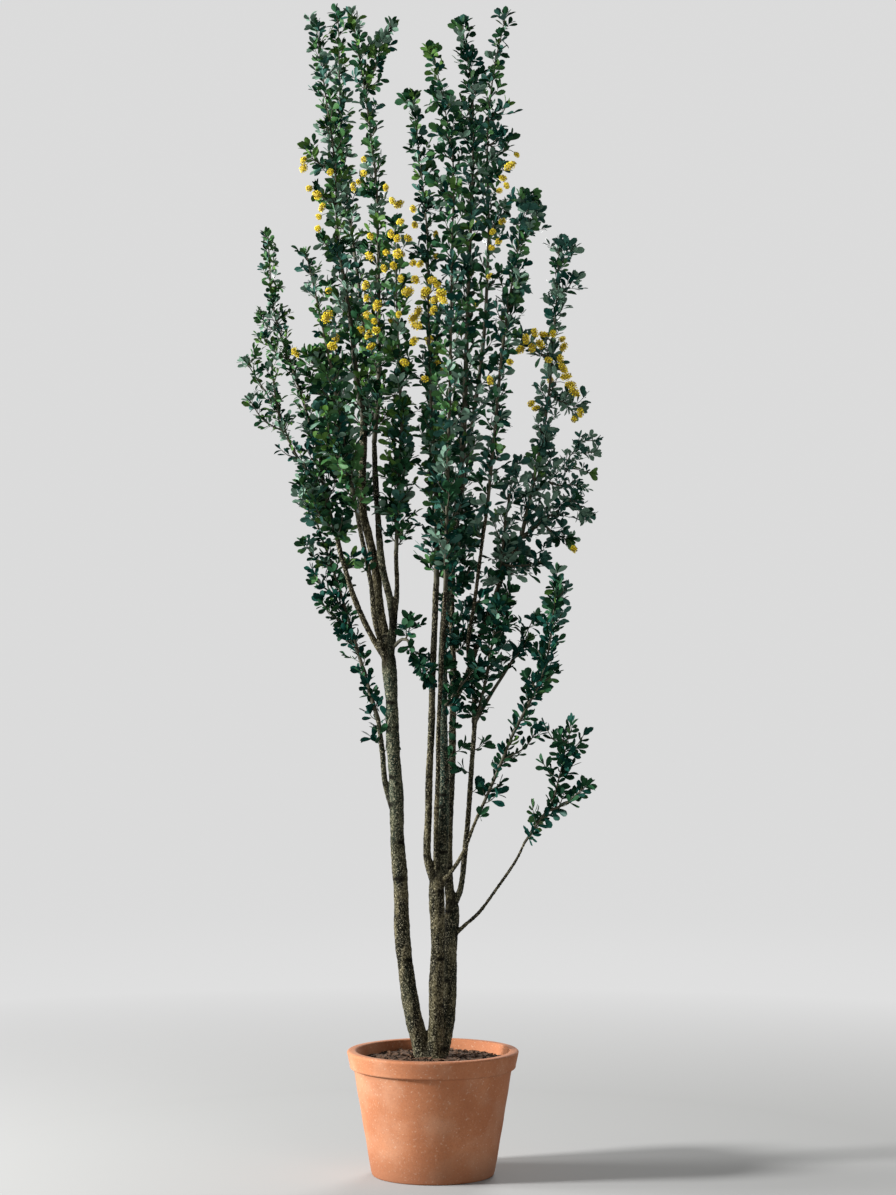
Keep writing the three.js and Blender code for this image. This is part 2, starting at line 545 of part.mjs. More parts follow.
// The masses of foliage. Each is cut clear of the limbs and of the leaders before its own, and its
// leaves keep clear of the leaders after its own too.
function growFoliage() {
  const wood = [...limbs.values()].map((limb) => asObstacle(barOf(limb, GAP)));
  const plans = [];
  for (const mass of MASSES) {
    const leaders = leadersOf(mass);
    limbs.set(mass.name, leaders[0]);
    plans.push({ mass, leaders, skins: leaders.map((leader) => asObstacle(barOf(leader, GAP))) });
  }
  const finished = [];
  plans.forEach(({ mass, leaders }, index) => {
    const before = [...wood, ...plans.slice(0, index).flatMap(({ skins }) => skins)];
    const after = plans.slice(index + 1).flatMap(({ skins }) => skins);
    const growth = new Growth(seededNumbers(SEED + index * SEED_STEP), [...before, ...after, ...finished]);
    leaders.forEach((leader, rank) => growth.growLeader(leader, mass, rank > 0 || !carries(mass)));
    (mass.flowers ?? []).forEach((share, i) => {
      growth.growFlower(leaders[0], share, i * GOLDEN_ANGLE - Math.PI / 2);
    });
    const whole = growth.pieces.reduce((joined, piece) => joined.add(piece));
    const solid = cutClear(whole, before);
    finished.push(asObstacle(solid));
    solids.set(mass.name, { solid, material: leafGreen });
  });
}

// The plant in its pot
const shrub = new THREE.Group();

function addPiece(name, geometry, material) {
  const piece = new THREE.Mesh(geometry, material);
  piece.name = name;
  shrub.add(piece);
}

addPiece("pot", makePot(), clay);
addPiece("soil", makeSoil(), earth);
growStems();
growBoughs();
growFoliage();
for (const [name, { solid, material }] of solids) {
  addPiece(name, toGeometry(solid), material);
}

export default shrub;
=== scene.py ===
"""Looks of a potted, several-stemmed peashrub: bark, leafy twigs, blossom, clay pot and soil.

The plant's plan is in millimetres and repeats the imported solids' own sizes, places and rule of growth,
which is carried on here to finer twigs. Meshes are in metres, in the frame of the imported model.
"""
import math

import bpy
import numpy as np
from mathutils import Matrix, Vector
from mathutils.kdtree import KDTree


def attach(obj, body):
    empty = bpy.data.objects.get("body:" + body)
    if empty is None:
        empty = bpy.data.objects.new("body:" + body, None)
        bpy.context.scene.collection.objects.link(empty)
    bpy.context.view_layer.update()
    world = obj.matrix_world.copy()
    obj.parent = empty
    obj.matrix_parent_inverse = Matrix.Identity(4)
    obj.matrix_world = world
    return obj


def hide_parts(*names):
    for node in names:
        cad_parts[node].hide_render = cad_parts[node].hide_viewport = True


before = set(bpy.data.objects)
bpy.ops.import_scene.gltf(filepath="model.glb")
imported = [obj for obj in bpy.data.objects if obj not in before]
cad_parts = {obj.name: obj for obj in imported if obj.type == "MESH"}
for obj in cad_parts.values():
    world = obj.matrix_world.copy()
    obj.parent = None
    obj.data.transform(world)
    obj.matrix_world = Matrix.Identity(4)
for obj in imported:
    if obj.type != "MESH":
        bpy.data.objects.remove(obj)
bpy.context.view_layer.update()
BODY = "root"
MM = 0.001

# The pot and its soil, in millimetres
POT_HEIGHT = 305
POT_TOP_RADIUS = 201
POT_FOOT_RADIUS = 150
POT_WALL = 14
POT_FLOOR = 18
POT_RIM_HEIGHT = 44
POT_RIM_LIP = 9
POT_SIDES = 128
POT_EDGE = 5
BAND_EDGE = 4
SHARP_ANGLE = 40
DRAIN_RADIUS = 11
DRAIN_CIRCLE_RADIUS = 75
DRAIN_COUNT = 3
SOIL_TOP = 285
SOIL_EDGE_DROP = 7
SOIL_PLATEAU = 70
SOIL_CRUMBS = 5200
SOIL_CHIPS = 420
CRUMB_SIZES = (1.1, 4.4)
CHIP_SIZES = (5, 12)
PALE_CRUMBS = 0.4
SOIL_SIDES = 150
SOIL_RINGS = 60
SOIL_MARGIN = 7

# The wood
STOOL_FLARE_HEIGHT = 44
STOOL_FLARE_RADIUS = 39
STOOL_TOP_RADIUS = 19
STOOL_SINK = 14
STOOL_SIDES = 48
SINK = 8
BARK_VOXEL = 2.85
BARK_STEP = 5
SCAR_SPACING = 62
SCAR_FLATNESS = 3.4
FORK_SWELL = 0.18
FORK_SWELL_LENGTH = 36
TRUNK_SIDES = 20
COLLAR_SWELL = 0.45
WANDER = 0.08
SKIN_GRAIN = 0.25
FAR = 30.0
# Painted shade: the bark is darkened where another limb's skin comes near, in the crotches and between close
# limbs
CREVICE_SHADE_REACH = 7
CREVICE_PAINTED_SHADE = 0.85
GREENED = {"middle_main_bough": 0.9, "left_stem": 0.3, "left_inner_bough": 0.4, "right_inner_bough": 0.15}
LEADER_FOOT_RADIUS = 5.2
LEADER_JOINT_RADIUS = 3.8
LEADER_TIP_RADIUS = 1.1
LEADER_BARE = 0.04
FORK_SAG = 0.08
TIP_GROWTH = 46
FORK_GROWTH = 10

# The foliage
NODE_SPACING = 12
TWIG_SPACING = 17.5
TIP_TAPER = 0.45
TWIG_REACH = (0.26, 1.0)
TWIG_TILT = 0.75
TWIG_NODE_SPACING = 8
PAIR_SPACING = 11
LEAF_HEIGHTS = (900, 1300, 1900, 2900)
LEAF_LENGTHS = (34, 32, 30, 28)
LEAF_WANDER = 0.12
LEAF_ROLL = (0.3, 1.3)
LEAF_SCALE = (0.7, 1.12)
LEAF_WIDTH = (0.85, 1.1)
TUFT_LEAVES = (1.6, 4.2)
TIP_LEAVES = 7
PAIRED_TIP_LEAVES = 3
TWIG_TIP_LEAVES = 3
DOUBLE_LEAF_ODDS = 0.3
COMPOUND_ODDS = (0.4, 0.1)
COMPOUND_BELOW = 1700
COMPOUND_PAIRS = (2, 3)
GOLDEN_ANGLE = math.pi * (3 - math.sqrt(5))
SEED = 4133
SEED_STEP = 7919

# Each stem has a name, its diameters at the foot and at the tip, and the places it runs through
STEMS = [
    ("left_stem", 42, 30,
     [(-14, 0, 270), (-50, -4, 400), (-67, -6, 500), (-80, -6, 700), (-94, -4, 1000), (-108, 0, 1262)]),
    ("middle_stem", 37, 34, [(1, -8, 270), (8, -16, 400), (11, -20, 560), (10, -24, 722)]),
    ("right_stem", 34, 31, [(14, 8, 270), (33, 20, 360), (42, 28, 450), (44, 32, 560), (46, 32, 655)]),
]

# Each bough also has a parent, which it leaves at a share of the parent's length
BOUGHS = [
    ("left_mid_bough", "left_stem", 1, 25, 18,
     [(-130, 8, 1380), (-140, 14, 1480), (-158, 18, 1560), (-174, 22, 1650), (-170, 30, 1860)]),
    ("left_inner_bough", "left_stem", 1, 21, 13,
     [(-98, -12, 1340), (-104, -14, 1400), (-125, -16, 1500), (-137, -16, 1640), (-144, -12, 1800)]),
    ("left_fourth_bough", "left_inner_bough", 0.17, 14, 11, [(-88, -26, 1430), (-90, -36, 1530)]),
    ("left_thin_bough", "left_stem", 0.96, 14, 11, [(-140, -30, 1350), (-152, -40, 1450), (-183, -56, 1610)]),
    ("left_fork_bough", "left_stem", 0.99, 16, 12,
     [(-145, -6, 1310), (-190, -14, 1405), (-220, -20, 1500), (-233, -24, 1555)]),
    ("left_low_bough", "left_stem", 0.6, 16, 12, [(-115, 6, 950), (-124, 10, 1030), (-136, 14, 1120)]),
    ("middle_main_bough", "middle_stem", 1, 28, 17,
     [(25, -20, 800), (26, -8, 1000), (24, 2, 1250), (40, 8, 1500), (70, 12, 1710)]),
    ("middle_left_bough", "middle_stem", 0.95, 19, 15,
     [(-13, -34, 780), (-11, -40, 900), (-4, -50, 1100), (2, -62, 1300), (9, -68, 1450)]),
    ("middle_front_bough", "middle_stem", 1, 13, 10,
     [(7, -44, 800), (11, -62, 960), (16, -82, 1150), (30, -106, 1440)]),
    ("middle_thin_bough", "middle_stem", 0.97, 11, 8,
     [(42, -44, 742), (75, -58, 796), (100, -66, 860), (126, -76, 920)]),
    ("right_inner_bough", "right_stem", 1, 22, 13,
     [(37, 42, 740), (40, 50, 860), (47, 62, 1030), (50, 76, 1200), (46, 96, 1400), (52, 112, 1560)]),
    ("right_outer_bough", "right_stem", 0.98, 15, 12,
     [(68, 27, 700), (79, 20, 790), (90, 12, 930), (98, 4, 1040), (102, 0, 1115)]),
    ("right_low_bough", "right_stem", 0.79, 10, 7,
     [(78, 18, 608), (112, 8, 640), (154, -12, 698), (200, -40, 768), (225, -60, 822)]),
    ("right_slant_bough", "right_inner_bough", 0.56, 15, 11,
     [(85, 64, 1225), (130, 56, 1355), (180, 58, 1485), (222, 68, 1572)]),
    ("right_tall_bough", "right_outer_bough", 1, 11, 9,
     [(99, -8, 1180), (86, -24, 1290), (102, -46, 1410), (134, -74, 1650)]),
]

# Each mass of foliage has a leader that grows on from a limb, or from a mass below it. A row holds the
# mass's name without its ending "_foliage", what carries it, the share of the carrier's length it leaves
# at, how far its leaves stand out, how thickly its twigs stand, and the places its leader runs through.
# After these come the ends of its side leaders, each with the share it leaves at.
MASSES = [
    ("left_low", "left_low_bough", 1, 50, 1,
     [(-160, 24, 1195), (-195, 44, 1312), (-242, 70, 1465), (-308, 96, 1648)]),
    ("left_fork", "left_fork_bough", 1, 76, 1.5,
     [(-262, -34, 1660), (-276, -40, 1760)], (0.1, (-312, -60, 1680))),
    ("left_spire", "left_fork", 1, 54, 1,
     [(-316, -40, 1890), (-350, -20, 1990), (-390, 10, 2115), (-404, 30, 2260)]),
    ("left_outer", "left_fork", 0.55, 52, 1,
     [(-335, -80, 1765), (-374, -120, 1860), (-436, -150, 1960)], (0.6, (-385, -190, 1965))),
    ("left_bush", "left_thin_bough", 1, 70, 1.3,
     [(-210, -104, 1760), (-242, -160, 1955)], (0.25, (-262, -180, 1850))),
    ("left_wand", "left_bush", 1, 46, 1, [(-268, -200, 2085), (-290, -225, 2185)]),
    ("left_tall", "left_mid_bough", 1, 60, 1, [(-190, 40, 1960), (-202, 52, 2080), (-238, 76, 2305)]),
    ("left_tip", "left_tall", 1, 54, 1.1, [(-244, 90, 2490), (-266, 106, 2650), (-290, 116, 2820)]),
    ("second", "left_mid_bough", 0.85, 56, 0.9, [(-166, 110, 1960), (-184, 180, 2170), (-220, 215, 2430)]),
    ("second_tip", "second", 1, 52, 1, [(-234, 232, 2610), (-240, 244, 2835)]),
    ("third", "left_inner_bough", 1, 58, 1, [(-132, -16, 1980), (-134, -30, 2290)]),
    ("third_tip", "third", 1, 48, 1,
     [(-140, -36, 2440), (-162, -42, 2620), (-190, -46, 2790)], (0.66, (-126, -50, 2755))),
    ("fourth", "left_fourth_bough", 1, 60, 1.4, [(-84, -60, 1680), (-74, -84, 1850)]),
    ("fourth_tip", "fourth", 1, 56, 1, [(-84, -118, 2040), (-90, -150, 2265)]),
    ("left_drooping", "left_inner_bough", 0.06, 46, 2, [(-66, -40, 1312), (-34, -60, 1256)]),
    ("centre_left", "middle_left_bough", 1, 62, 1.2, [(8, -86, 1640), (-4, -104, 1860)]),
    ("centre_left_tip", "centre_left", 1, 50, 0.9, [(-10, -130, 2080), (-14, -150, 2295), (-42, -164, 2560)]),
    ("front", "middle_front_bough", 1, 60, 1, [(36, -160, 1700), (42, -205, 1950)]),
    ("front_tip", "front", 1, 54, 1, [(46, -236, 2235), (48, -250, 2450), (12, -252, 2655)]),
    ("centre", "middle_main_bough", 1, 66, 1.3, [(78, 18, 1900), (84, 24, 2100), (92, 30, 2300)]),
    ("centre_tip", "centre", 1, 62, 1.4, [(98, 38, 2500), (94, 44, 2680), (76, 48, 2800)]),
    ("inner", "right_inner_bough", 1, 62, 1.1, [(90, 145, 1800), (126, 180, 2060), (140, 205, 2340)]),
    ("inner_tip", "inner", 1, 56, 1.2, [(136, 222, 2570), (152, 230, 2740), (172, 234, 2835)]),
    ("back", "right_inner_bough", 0.93, 70, 1, [(16, 210, 1720), (2, 290, 1900), (10, 340, 2100)]),
    ("back_left", "left_mid_bough", 0.6, 66, 1, [(-205, 130, 1750), (-240, 230, 1930), (-250, 290, 2090)]),
    ("stem_tuft", "middle_main_bough", 0.43, 46, 2, [(58, -36, 1185), (82, -52, 1215)]),
    ("right_fork", "right_outer_bough", 0.96, 54, 1.1,
     [(124, -22, 1190), (140, -50, 1280), (152, -74, 1350)]),
    ("right_shelf", "right_outer_bough", 1, 52, 1.6, [(145, 30, 1180), (188, 62, 1245), (228, 92, 1320)]),
    ("right_bush", "right_slant_bough", 0.7, 66, 1.5,
     [(178, 26, 1600), (200, 0, 1730)], (0.15, (256, 10, 1500))),
    ("right_tall", "right_tall_bough", 1, 52, 0.9, [(152, -100, 1840), (166, -130, 2005)]),
    ("right_tall_tip", "right_tall", 1, 58, 1.3, [(184, -144, 2130), (218, -156, 2325)]),
    ("right_ledge", "right_slant_bough", 0.97, 60, 1.8,
     [(286, 60, 1612), (338, 48, 1650)], (0.4, (322, 36, 1560))),
    ("right_spire", "right_slant_bough", 1, 54, 1,
     [(248, 84, 1700), (284, 116, 1890), (302, 138, 2085), (312, 146, 2240)],
     (0.62, (222, 110, 2055)), (0.5, (352, 120, 1890))),
    ("right_crest", "right_spire", 0.14, 64, 1.7,
     [(306, 140, 1720), (366, 200, 1800)], (0.3, (350, 156, 1695))),
    ("low_right", "middle_thin_bough", 1, 46, 1, [(160, -94, 1000), (190, -106, 1075), (228, -120, 1150)]),
    ("low_right_tip", "low_right", 1, 60, 1.3, [(266, -150, 1232), (286, -172, 1345), (296, -186, 1460)]),
    ("lowest", "right_low_bough", 1, 50, 1.5,
     [(262, -96, 880), (290, -122, 925), (322, -160, 1062)], (0.35, (362, -150, 955))),
]

# How full and how large-leaved a mass looks beside the others, how far its tips grow on, and how much of
# its leader is bare
FULLNESS = {
    "lowest": 0.5, "right_crest": 0.5, "left_outer": 0.9, "low_right": 0.75, "low_right_tip": 1.1,
    "left_drooping": 0.8, "left_low": 0.8, "stem_tuft": 0.5, "right_shelf": 0.35, "right_fork": 0.75,
    "right_ledge": 0.65, "right_bush": 0.55, "centre": 0.8, "inner": 0.5, "inner_tip": 0.7,
    "left_wand": 0.9, "left_spire": 1.4, "centre_tip": 0.85, "fourth": 1.2,
}
LEAF_SIZES = {"left_spire": 0.72, "left_outer": 0.72, "left_wand": 0.82, "left_low": 0.85,
              "low_right": 0.85, "lowest": 0.9, "low_right_tip": 0.92, "right_crest": 0.75}
TIP_GROWTHS = {"low_right_tip": 15, "right_crest": 6, "right_ledge": 10, "left_outer": 24, "left_fork": 10,
               "right_bush": 5, "left_tip": 15, "lowest": 8, "centre_tip": 28}
BARE_SHARES = {"left_drooping": 0.45, "right_shelf": 0.45}
PAIRED = ("lowest", "low_right", "low_right_tip")
PAIRED_WIDTH = 0.92

# The part of the plant that a mass or limb belongs to, by the first word of its name
PARTS = {
    "left": "left", "second": "left", "third": "left", "fourth": "left", "back": "back",
    "centre": "middle", "front": "middle", "middle": "middle", "inner": "back", "stem": "middle",
    "right": "right", "low": "right", "lowest": "right",
}

# Side shoots that fill the crown between the leaders: the limb or leader, and for each shoot the place
# where its tip shows in the photograph, across and up in centimetres, and how far it stands back
SHOOTS = [
    ("left_tip", (-32, 253, 10), (-30, 243, -25)),
    ("left_tall", (-28.5, 230.5, -40), (-27, 219, 25)),
    ("third_tip", (-8.5, 283, 10), (-19, 245, 10)),
    ("centre_left_tip", (-8, 264.6, 20), (0, 248, 20), (0.5, 238, -20)),
    ("front_tip", (-2, 277, 10), (-1.5, 266, 20), (5.5, 264, -15), (1, 252, -25), (2, 241, 25)),
    ("inner_tip", (19.5, 263, -20), (20.5, 255, 20), (18, 248, -30)),
    ("inner", (18, 239, 30)), ("inner_tip", (17.5, 256, -40)),
    ("right_tall_tip", (26, 239, 0), (26, 233, -30), (18.5, 223, 20), (21.5, 215, -20)),
    ("right_spire", (35.5, 227.5, -10), (36, 221, 15)),
    ("left_spire", (-44, 212, 10), (-43, 206.5, -20), (-40.5, 218, 15), (-35.5, 212, 20)),
    ("left_outer", (-42, 202, 15)), ("left_bush", (-30, 203, 10), (-31.5, 184, 15)),
    ("left_low", (-26, 152, 10), (-25.5, 141, 15), (-24, 134, -10)),
    ("left_fork_bough", (-21, 160, 15), (-19.5, 150, 20)),
    ("fourth", (-7.5, 172, 15)), ("fourth_tip", (-7, 197, 15)),
    ("centre_left", (-2, 181, 15)), ("centre_left_tip", (-1, 227, 10)),
    ("left_bush", (-32.5, 197, 30)), ("left_outer", (-46.5, 191, -10), (-34.5, 186, 10)),
    ("fourth", (-11.5, 173, -10), (-12, 183, 15), (-5, 177, -20), (-11.5, 164, -20), (-5.5, 167, 10),
     (-6, 187, 20)),
    ("fourth_tip", (-12, 193, 10), (-5, 199, -10), (-12, 203, -20), (-6, 217, 10)),
    ("left_low", (-33, 156, -10), (-31, 149, 20), (-29, 142, -15)),
    ("left_thin_bough", (-18.5, 150, -20)),
    ("middle_main_bough", (6.5, 136, -30), (7.5, 146, -20), (8.5, 156, -25), (9.5, 164, -10)),
    ("right_inner_bough", (10.5, 141, -20), (11, 150, -30), (12, 160, -20), (9.5, 132, -40)),
    ("right_slant_bough", (14, 146, -25), (15.5, 152, 10), (13, 139, -10), (18.5, 149, 5),
     (20.5, 144, -20), (23.5, 153, 15)),
    ("right_inner_bough", (12.5, 138, -30)),
    ("right_tall_bough", (13.5, 143, -10), (13.5, 164, 15), (9, 159, 10)),
    ("right_fork", (17, 141, 10)), ("middle_main_bough", (5.5, 131, -20)),
    ("low_right", (27.5, 111, -10)), ("low_right_tip", (21.5, 123, 10), (24, 130, -10), (31.5, 125, 10)),
    ("lowest", (26, 111, 10), (25.5, 102, -10), (38.5, 109, 10), (34, 113, -10), (29.5, 109, -15),
     (31.5, 103, 15)),
    ("right_tall_tip", (23.5, 220, 10)), ("right_crest", (42, 180, 10)),
    ("left_drooping", (-5, 137, -15)), ("right_ledge", (38.5, 160, -10)),
    ("right_spire", (29.5, 181, -30)), ("right_tall", (17.5, 187, 15)), ("right_bush", (20, 156, 0)),
    ("centre_tip", (5, 257, -20), (4.5, 263, 15)), ("centre", (5.5, 232, -20)),
    ("front_tip", (0, 257, 15), (-1, 245, 20)), ("centre", (7.5, 222, -25)),
    ("right_tall_tip", (21, 240, -10)), ("inner", (16.5, 238.5, -20)),
    ("right_tall_tip", (27.5, 237, 5)), ("left_spire", (-38, 215, -15)),
    ("left_bush", (-32.5, 202.5, -10)), ("fourth", (-8, 190, -25)),
    ("right_spire", (28.5, 179, -10), (30.5, 177, 10)),
    ("right_crest", (41.5, 177, -10), (40.5, 171.5, 10)),
    ("right_inner_bough", (11, 154.5, -35)), ("right_slant_bough", (22.5, 155, -15)),
    ("low_right_tip", (30.5, 144, 10), (34, 145, -10)),
    ("right_fork", (19.5, 136.5, 5), (17.5, 131, 10)), ("right_shelf", (24.5, 132, 0)),
    ("middle_main_bough", (5, 125, -20)), ("lowest", (35.5, 101.5, 5), (33.5, 99.5, -10)),
    ("left_tall", (-25, 226, 10)), ("middle_main_bough", (4.5, 142, -15)),
]
SHOOT_REACH = 42
SHOOT_SHORT = 22
SHOOT_FILL = 0.9
PAIRED_SHOOT_FILL = 0.5

# Short leafy spurs on the bare limbs: the limb, the share of its length, the side as an angle seen from
# above, and the spur's length
SPURS = [
    ("middle_main_bough", 0.3, -0.9, 22), ("right_inner_bough", 0.42, -0.2, 24),
    ("right_outer_bough", 0.62, -0.6, 20), ("right_outer_bough", 0.84, 0.3, 30),
    ("right_outer_bough", 0.72, 2.9, 18), ("middle_thin_bough", 0.8, -1.1, 18),
    ("left_low_bough", 0.75, 2.8, 24), ("left_low_bough", 0.9, -0.5, 26),
    ("left_low_bough", 0.68, -0.4, 20), ("left_low_bough", 0.97, 2.6, 26),
    ("left_low_bough", 0.82, -1.6, 22), ("left_low_bough", 0.95, -0.6, 26),
    ("middle_thin_bough", 0.97, -0.5, 44), ("middle_main_bough", 0.37, -0.5, 26),
    ("right_inner_bough", 0.52, -0.9, 28),
]

# Blossom clusters, where the photograph shows them: across and up in centimetres, and size in
# millimetres
BLOSSOM = [
    (-31.7, 246.5, 26), (-25.2, 245.5, 20), (-17, 248.6, 17), (-17, 245.3, 20), (-11.6, 241.8, 18),
    (-28.4, 240, 28), (-27.2, 236.9, 20), (-28, 234.6, 17), (-28.2, 231.7, 20), (-10, 238.5, 18),
    (-8.4, 237.7, 24), (-4.9, 236.5, 20), (-8, 233.4, 20), (-4.5, 232.6, 18), (-10.3, 230.4, 20),
    (-8.8, 229.3, 22), (-6.1, 229.4, 20), (-15.3, 229.8, 18), (-15.5, 225, 24), (-8.7, 225.5, 30),
    (-12, 221.9, 18), (-9.7, 222.6, 20), (-7.9, 219.4, 18), (-4.9, 223.3, 20), (-3.2, 223, 20),
    (-6.2, 216.3, 33), (-4.35, 219.2, 28), (-1.7, 216.4, 28), (-0.2, 219, 27), (1.1, 217.9, 20),
    (2, 215.8, 30), (2.4, 214.3, 24), (0.5, 214.3, 24), (0.15, 211.7, 24), (-4.7, 209.8, 30),
    (-4, 208, 29), (-4.7, 204.2, 24), (-8.4, 210.7, 18), (-7, 198.9, 25), (-1.9, 194.9, 19),
    (-16.2, 214.7, 21), (-13.7, 212.9, 29), (-16, 210.4, 29), (-14.4, 209, 20), (-17.7, 207, 23),
    (-13.9, 206.8, 23), (-15.7, 205.7, 26), (-15.1, 202.8, 20), (-25.6, 216.5, 18), (-25.9, 210.1, 32),
    (-24.1, 204.6, 30), (-24.6, 202.9, 27), (18.9, 247.1, 27), (17.1, 244.1, 21), (18, 242.2, 17),
    (16.3, 241, 17), (16.9, 233.4, 20), (14.6, 230.9, 18), (16.1, 228.6, 19), (14.4, 227, 17),
    (14, 220, 17), (18.9, 199, 20), (14, 194.5, 19), (29.4, 206, 20), (28.3, 199.5, 19),
    (24.1, 188.8, 22), (21.4, 202, 26), (22.8, 204.6, 24), (24.2, 202.4, 27), (24.9, 206.2, 22),
    (26.3, 203.4, 26), (27, 205.8, 19), (31.2, 199.7, 23), (31.8, 197.6, 25), (32.6, 195.4, 25),
    (33.7, 193.4, 26), (34.6, 191.8, 29), (36.1, 186.6, 22), (34.6, 185, 19), (34.5, 153.2, 20),
]

# The photograph's viewpoint, in millimetres
EYE = (36.75, -7500, 1413)
LENS = 92.2

# The stage, in metres: a round floor that sweeps up into a wall all round
FLOOR_REACH = 14
SWEEP = 12
WALL_TOP = 14
WALL_GLOW = 0.7
GLOW_REACH = (1.3, 3.6)
FLOOR_SIDES = 96


def unit(vectors):
    """The vectors, or the one vector, at a length of 1."""
    vectors = np.asarray(vectors, float)
    return vectors / np.maximum(np.linalg.norm(vectors, axis=-1, keepdims=True), 1e-9)


def mix(a, b, share):
    """The value at a share of the way from a to b."""
    return a + (b - a) * share


def sides_of(heading):
    """Two directions square to a heading: the X and Y axes, turned as Z turns onto the heading."""
    heading = unit(heading)
    lean = (heading + (0, 0, 1)) / (1 + heading[2] + 1e-9)
    return np.array([1, 0, 0]) - heading[0] * lean, np.array([0, 1, 0]) - heading[1] * lean


def outward_of(heading, angle):
    """The direction square to a heading at an angle round it."""
    right, back = sides_of(heading)
    return math.cos(angle) * right + math.sin(angle) * back


def seeded_numbers(seed):
    """A repeatable source of numbers from 0 to 1, the same as the solids grow by."""
    state = seed & 0xFFFFFFFF
    while True:
        state = (state + 0x6D2B79F5) & 0xFFFFFFFF
        mixed = ((state ^ (state >> 15)) * (state | 1)) & 0xFFFFFFFF
        mixed = ((mixed + (((mixed ^ (mixed >> 7)) * (mixed | 61)) & 0xFFFFFFFF)) ^ mixed) & 0xFFFFFFFF
        yield ((mixed ^ (mixed >> 14)) & 0xFFFFFFFF) / 4294967296


class Limb:
    """A smooth curve through a few places, with its radius at the foot and at the tip."""

    def __init__(self, places, foot_radius, tip_radius):
        places = np.array(places, float)
        before, after = 2 * places[:1] - places[1:2], 2 * places[-1:] - places[-2:-1]
        knots = np.concatenate([before, places, after])
        t = np.linspace(0, 1, 60, endpoint=False)[:, None]
        spans = [
            b + 0.5 * t * (c - a + t * (2 * a - 5 * b + 4 * c - d + t * (3 * b - a - 3 * c + d)))
            for a, b, c, d in zip(knots[:-3], knots[1:-2], knots[2:-1], knots[3:])
        ]
        self.line = np.concatenate([*spans, places[-1:]])
        self.along = np.concatenate([[0], np.cumsum(np.linalg.norm(np.diff(self.line, axis=0), axis=1))])
        self.length = self.along[-1]
        self.radii = (foot_radius, tip_radius)

    def place(self, share):
        reached = np.asarray(share, float) * self.length
        return np.stack([np.interp(reached, self.along, self.line[:, axis]) for axis in range(3)], axis=-1)

    def heading(self, share):
        step = 1 / self.length
        share = np.asarray(share, float)
        return unit(self.place(np.minimum(share + step, 1)) - self.place(np.maximum(share - step, 0)))

    def radius(self, share):
        return mix(*self.radii, np.clip(share, 0, 1))

    def foot(self, at):
        """The place inside this limb that another one starts from."""
        return self.place(min(at, 1 - SINK / self.length))

    def skin(self, steps, sides):
        """The limb as a round tube."""
        share = np.linspace(0, 1, steps)
        return tube(self.place(share), self.radius(share), sides)


def stations(limb, bare, count, offset, phase):
    """Spots along a limb beyond its bare share, which turn round it by the golden angle: the share of its
    length, the place, the heading and the outward direction of each."""
    for i in range(count):
        share = bare + (1 - bare) * (i + offset) / count
        heading = limb.heading(share)
        yield share, limb.place(share), heading, outward_of(heading, phase + i * GOLDEN_ANGLE)


def placed(name, data):
    """A new object in the scene."""
    made = bpy.data.objects.new(name, data)
    bpy.context.scene.collection.objects.link(made)
    return made


def shade(mesh, smooth=True):
    mesh.polygons.foreach_set("use_smooth", np.full(len(mesh.polygons), smooth))


class Forms:
    """Collects many small forms and joins them into one mesh."""

    def __init__(self):
        self.corners, self.faces, self.tints = [], [], []
        self.count = 0

    def add(self, corners, faces, tints=0):
        """corners in millimetres, faces as triangles, and the material of each face."""
        self.corners.append(np.asarray(corners, float))
        self.faces.append(np.asarray(faces) + self.count)
        self.tints.append(np.broadcast_to(tints, len(faces)))
        self.count += len(corners)

    def mesh(self, name, smooth=True):
        """All the forms as one mesh, in metres."""
        faces = np.concatenate(self.faces).astype(np.int32)
        mesh = bpy.data.meshes.new(name)
        mesh.vertices.add(self.count)
        mesh.vertices.foreach_set("co", (np.concatenate(self.corners) * MM).astype(np.float32).ravel())
        mesh.loops.add(faces.size)
        mesh.loops.foreach_set("vertex_index", faces.ravel())
        mesh.polygons.add(len(faces))
        mesh.polygons.foreach_set("loop_start", np.arange(0, faces.size, 3, dtype=np.int32))
        mesh.polygons.foreach_set("material_index", np.concatenate(self.tints).astype(np.int32))
        shade(mesh, smooth)
        mesh.update()
        return mesh

    def made(self, name, materials, slot, nodes, smooth=True):
        """The mesh as a piece that rides on the plant's one body and stands for some nodes."""
        piece = placed(name, self.mesh(name, smooth))
        for material in materials:
            piece.data.materials.append(material)
        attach(piece, BODY)
        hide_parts(*nodes)
        return piece


def ring_faces(ring_count, sides):
    """Triangles that join rings of corners in a row and close both ends, whose middles come last."""
    turn = np.arange(sides)
    follow = (turn + 1) % sides
    ring = np.arange(ring_count - 1)[:, None] * sides
    here, there = ring + turn, ring + follow
    walls = np.stack([here, there, there + sides, here, there + sides, here + sides], axis=-1).reshape(-1, 3)
    top, middle = (ring_count - 1) * sides, ring_count * sides
    foot = np.stack([follow, turn, np.full(sides, middle)], axis=-1)
    tip = np.stack([top + turn, top + follow, np.full(sides, middle + 1)], axis=-1)
    return np.concatenate([walls, foot, tip])


def tube(line, radii, sides):
    """Corners and faces of a round tube along a line, with closed ends."""
    line = np.asarray(line, float)
    headings = unit(np.gradient(line, axis=0))
    side = sides_of(headings[0])[0]
    angles = np.arange(sides) * 2 * math.pi / sides
    rings = []
    for place, heading, radius in zip(line, headings, np.broadcast_to(radii, len(line))):
        side = unit(side - heading * (side @ heading))
        across = np.cross(heading, side)
        rings.append(place + radius * (np.outer(np.cos(angles), side) + np.outer(np.sin(angles), across)))
    return np.concatenate([*rings, line[:1], line[-1:]]), ring_faces(len(line), sides)


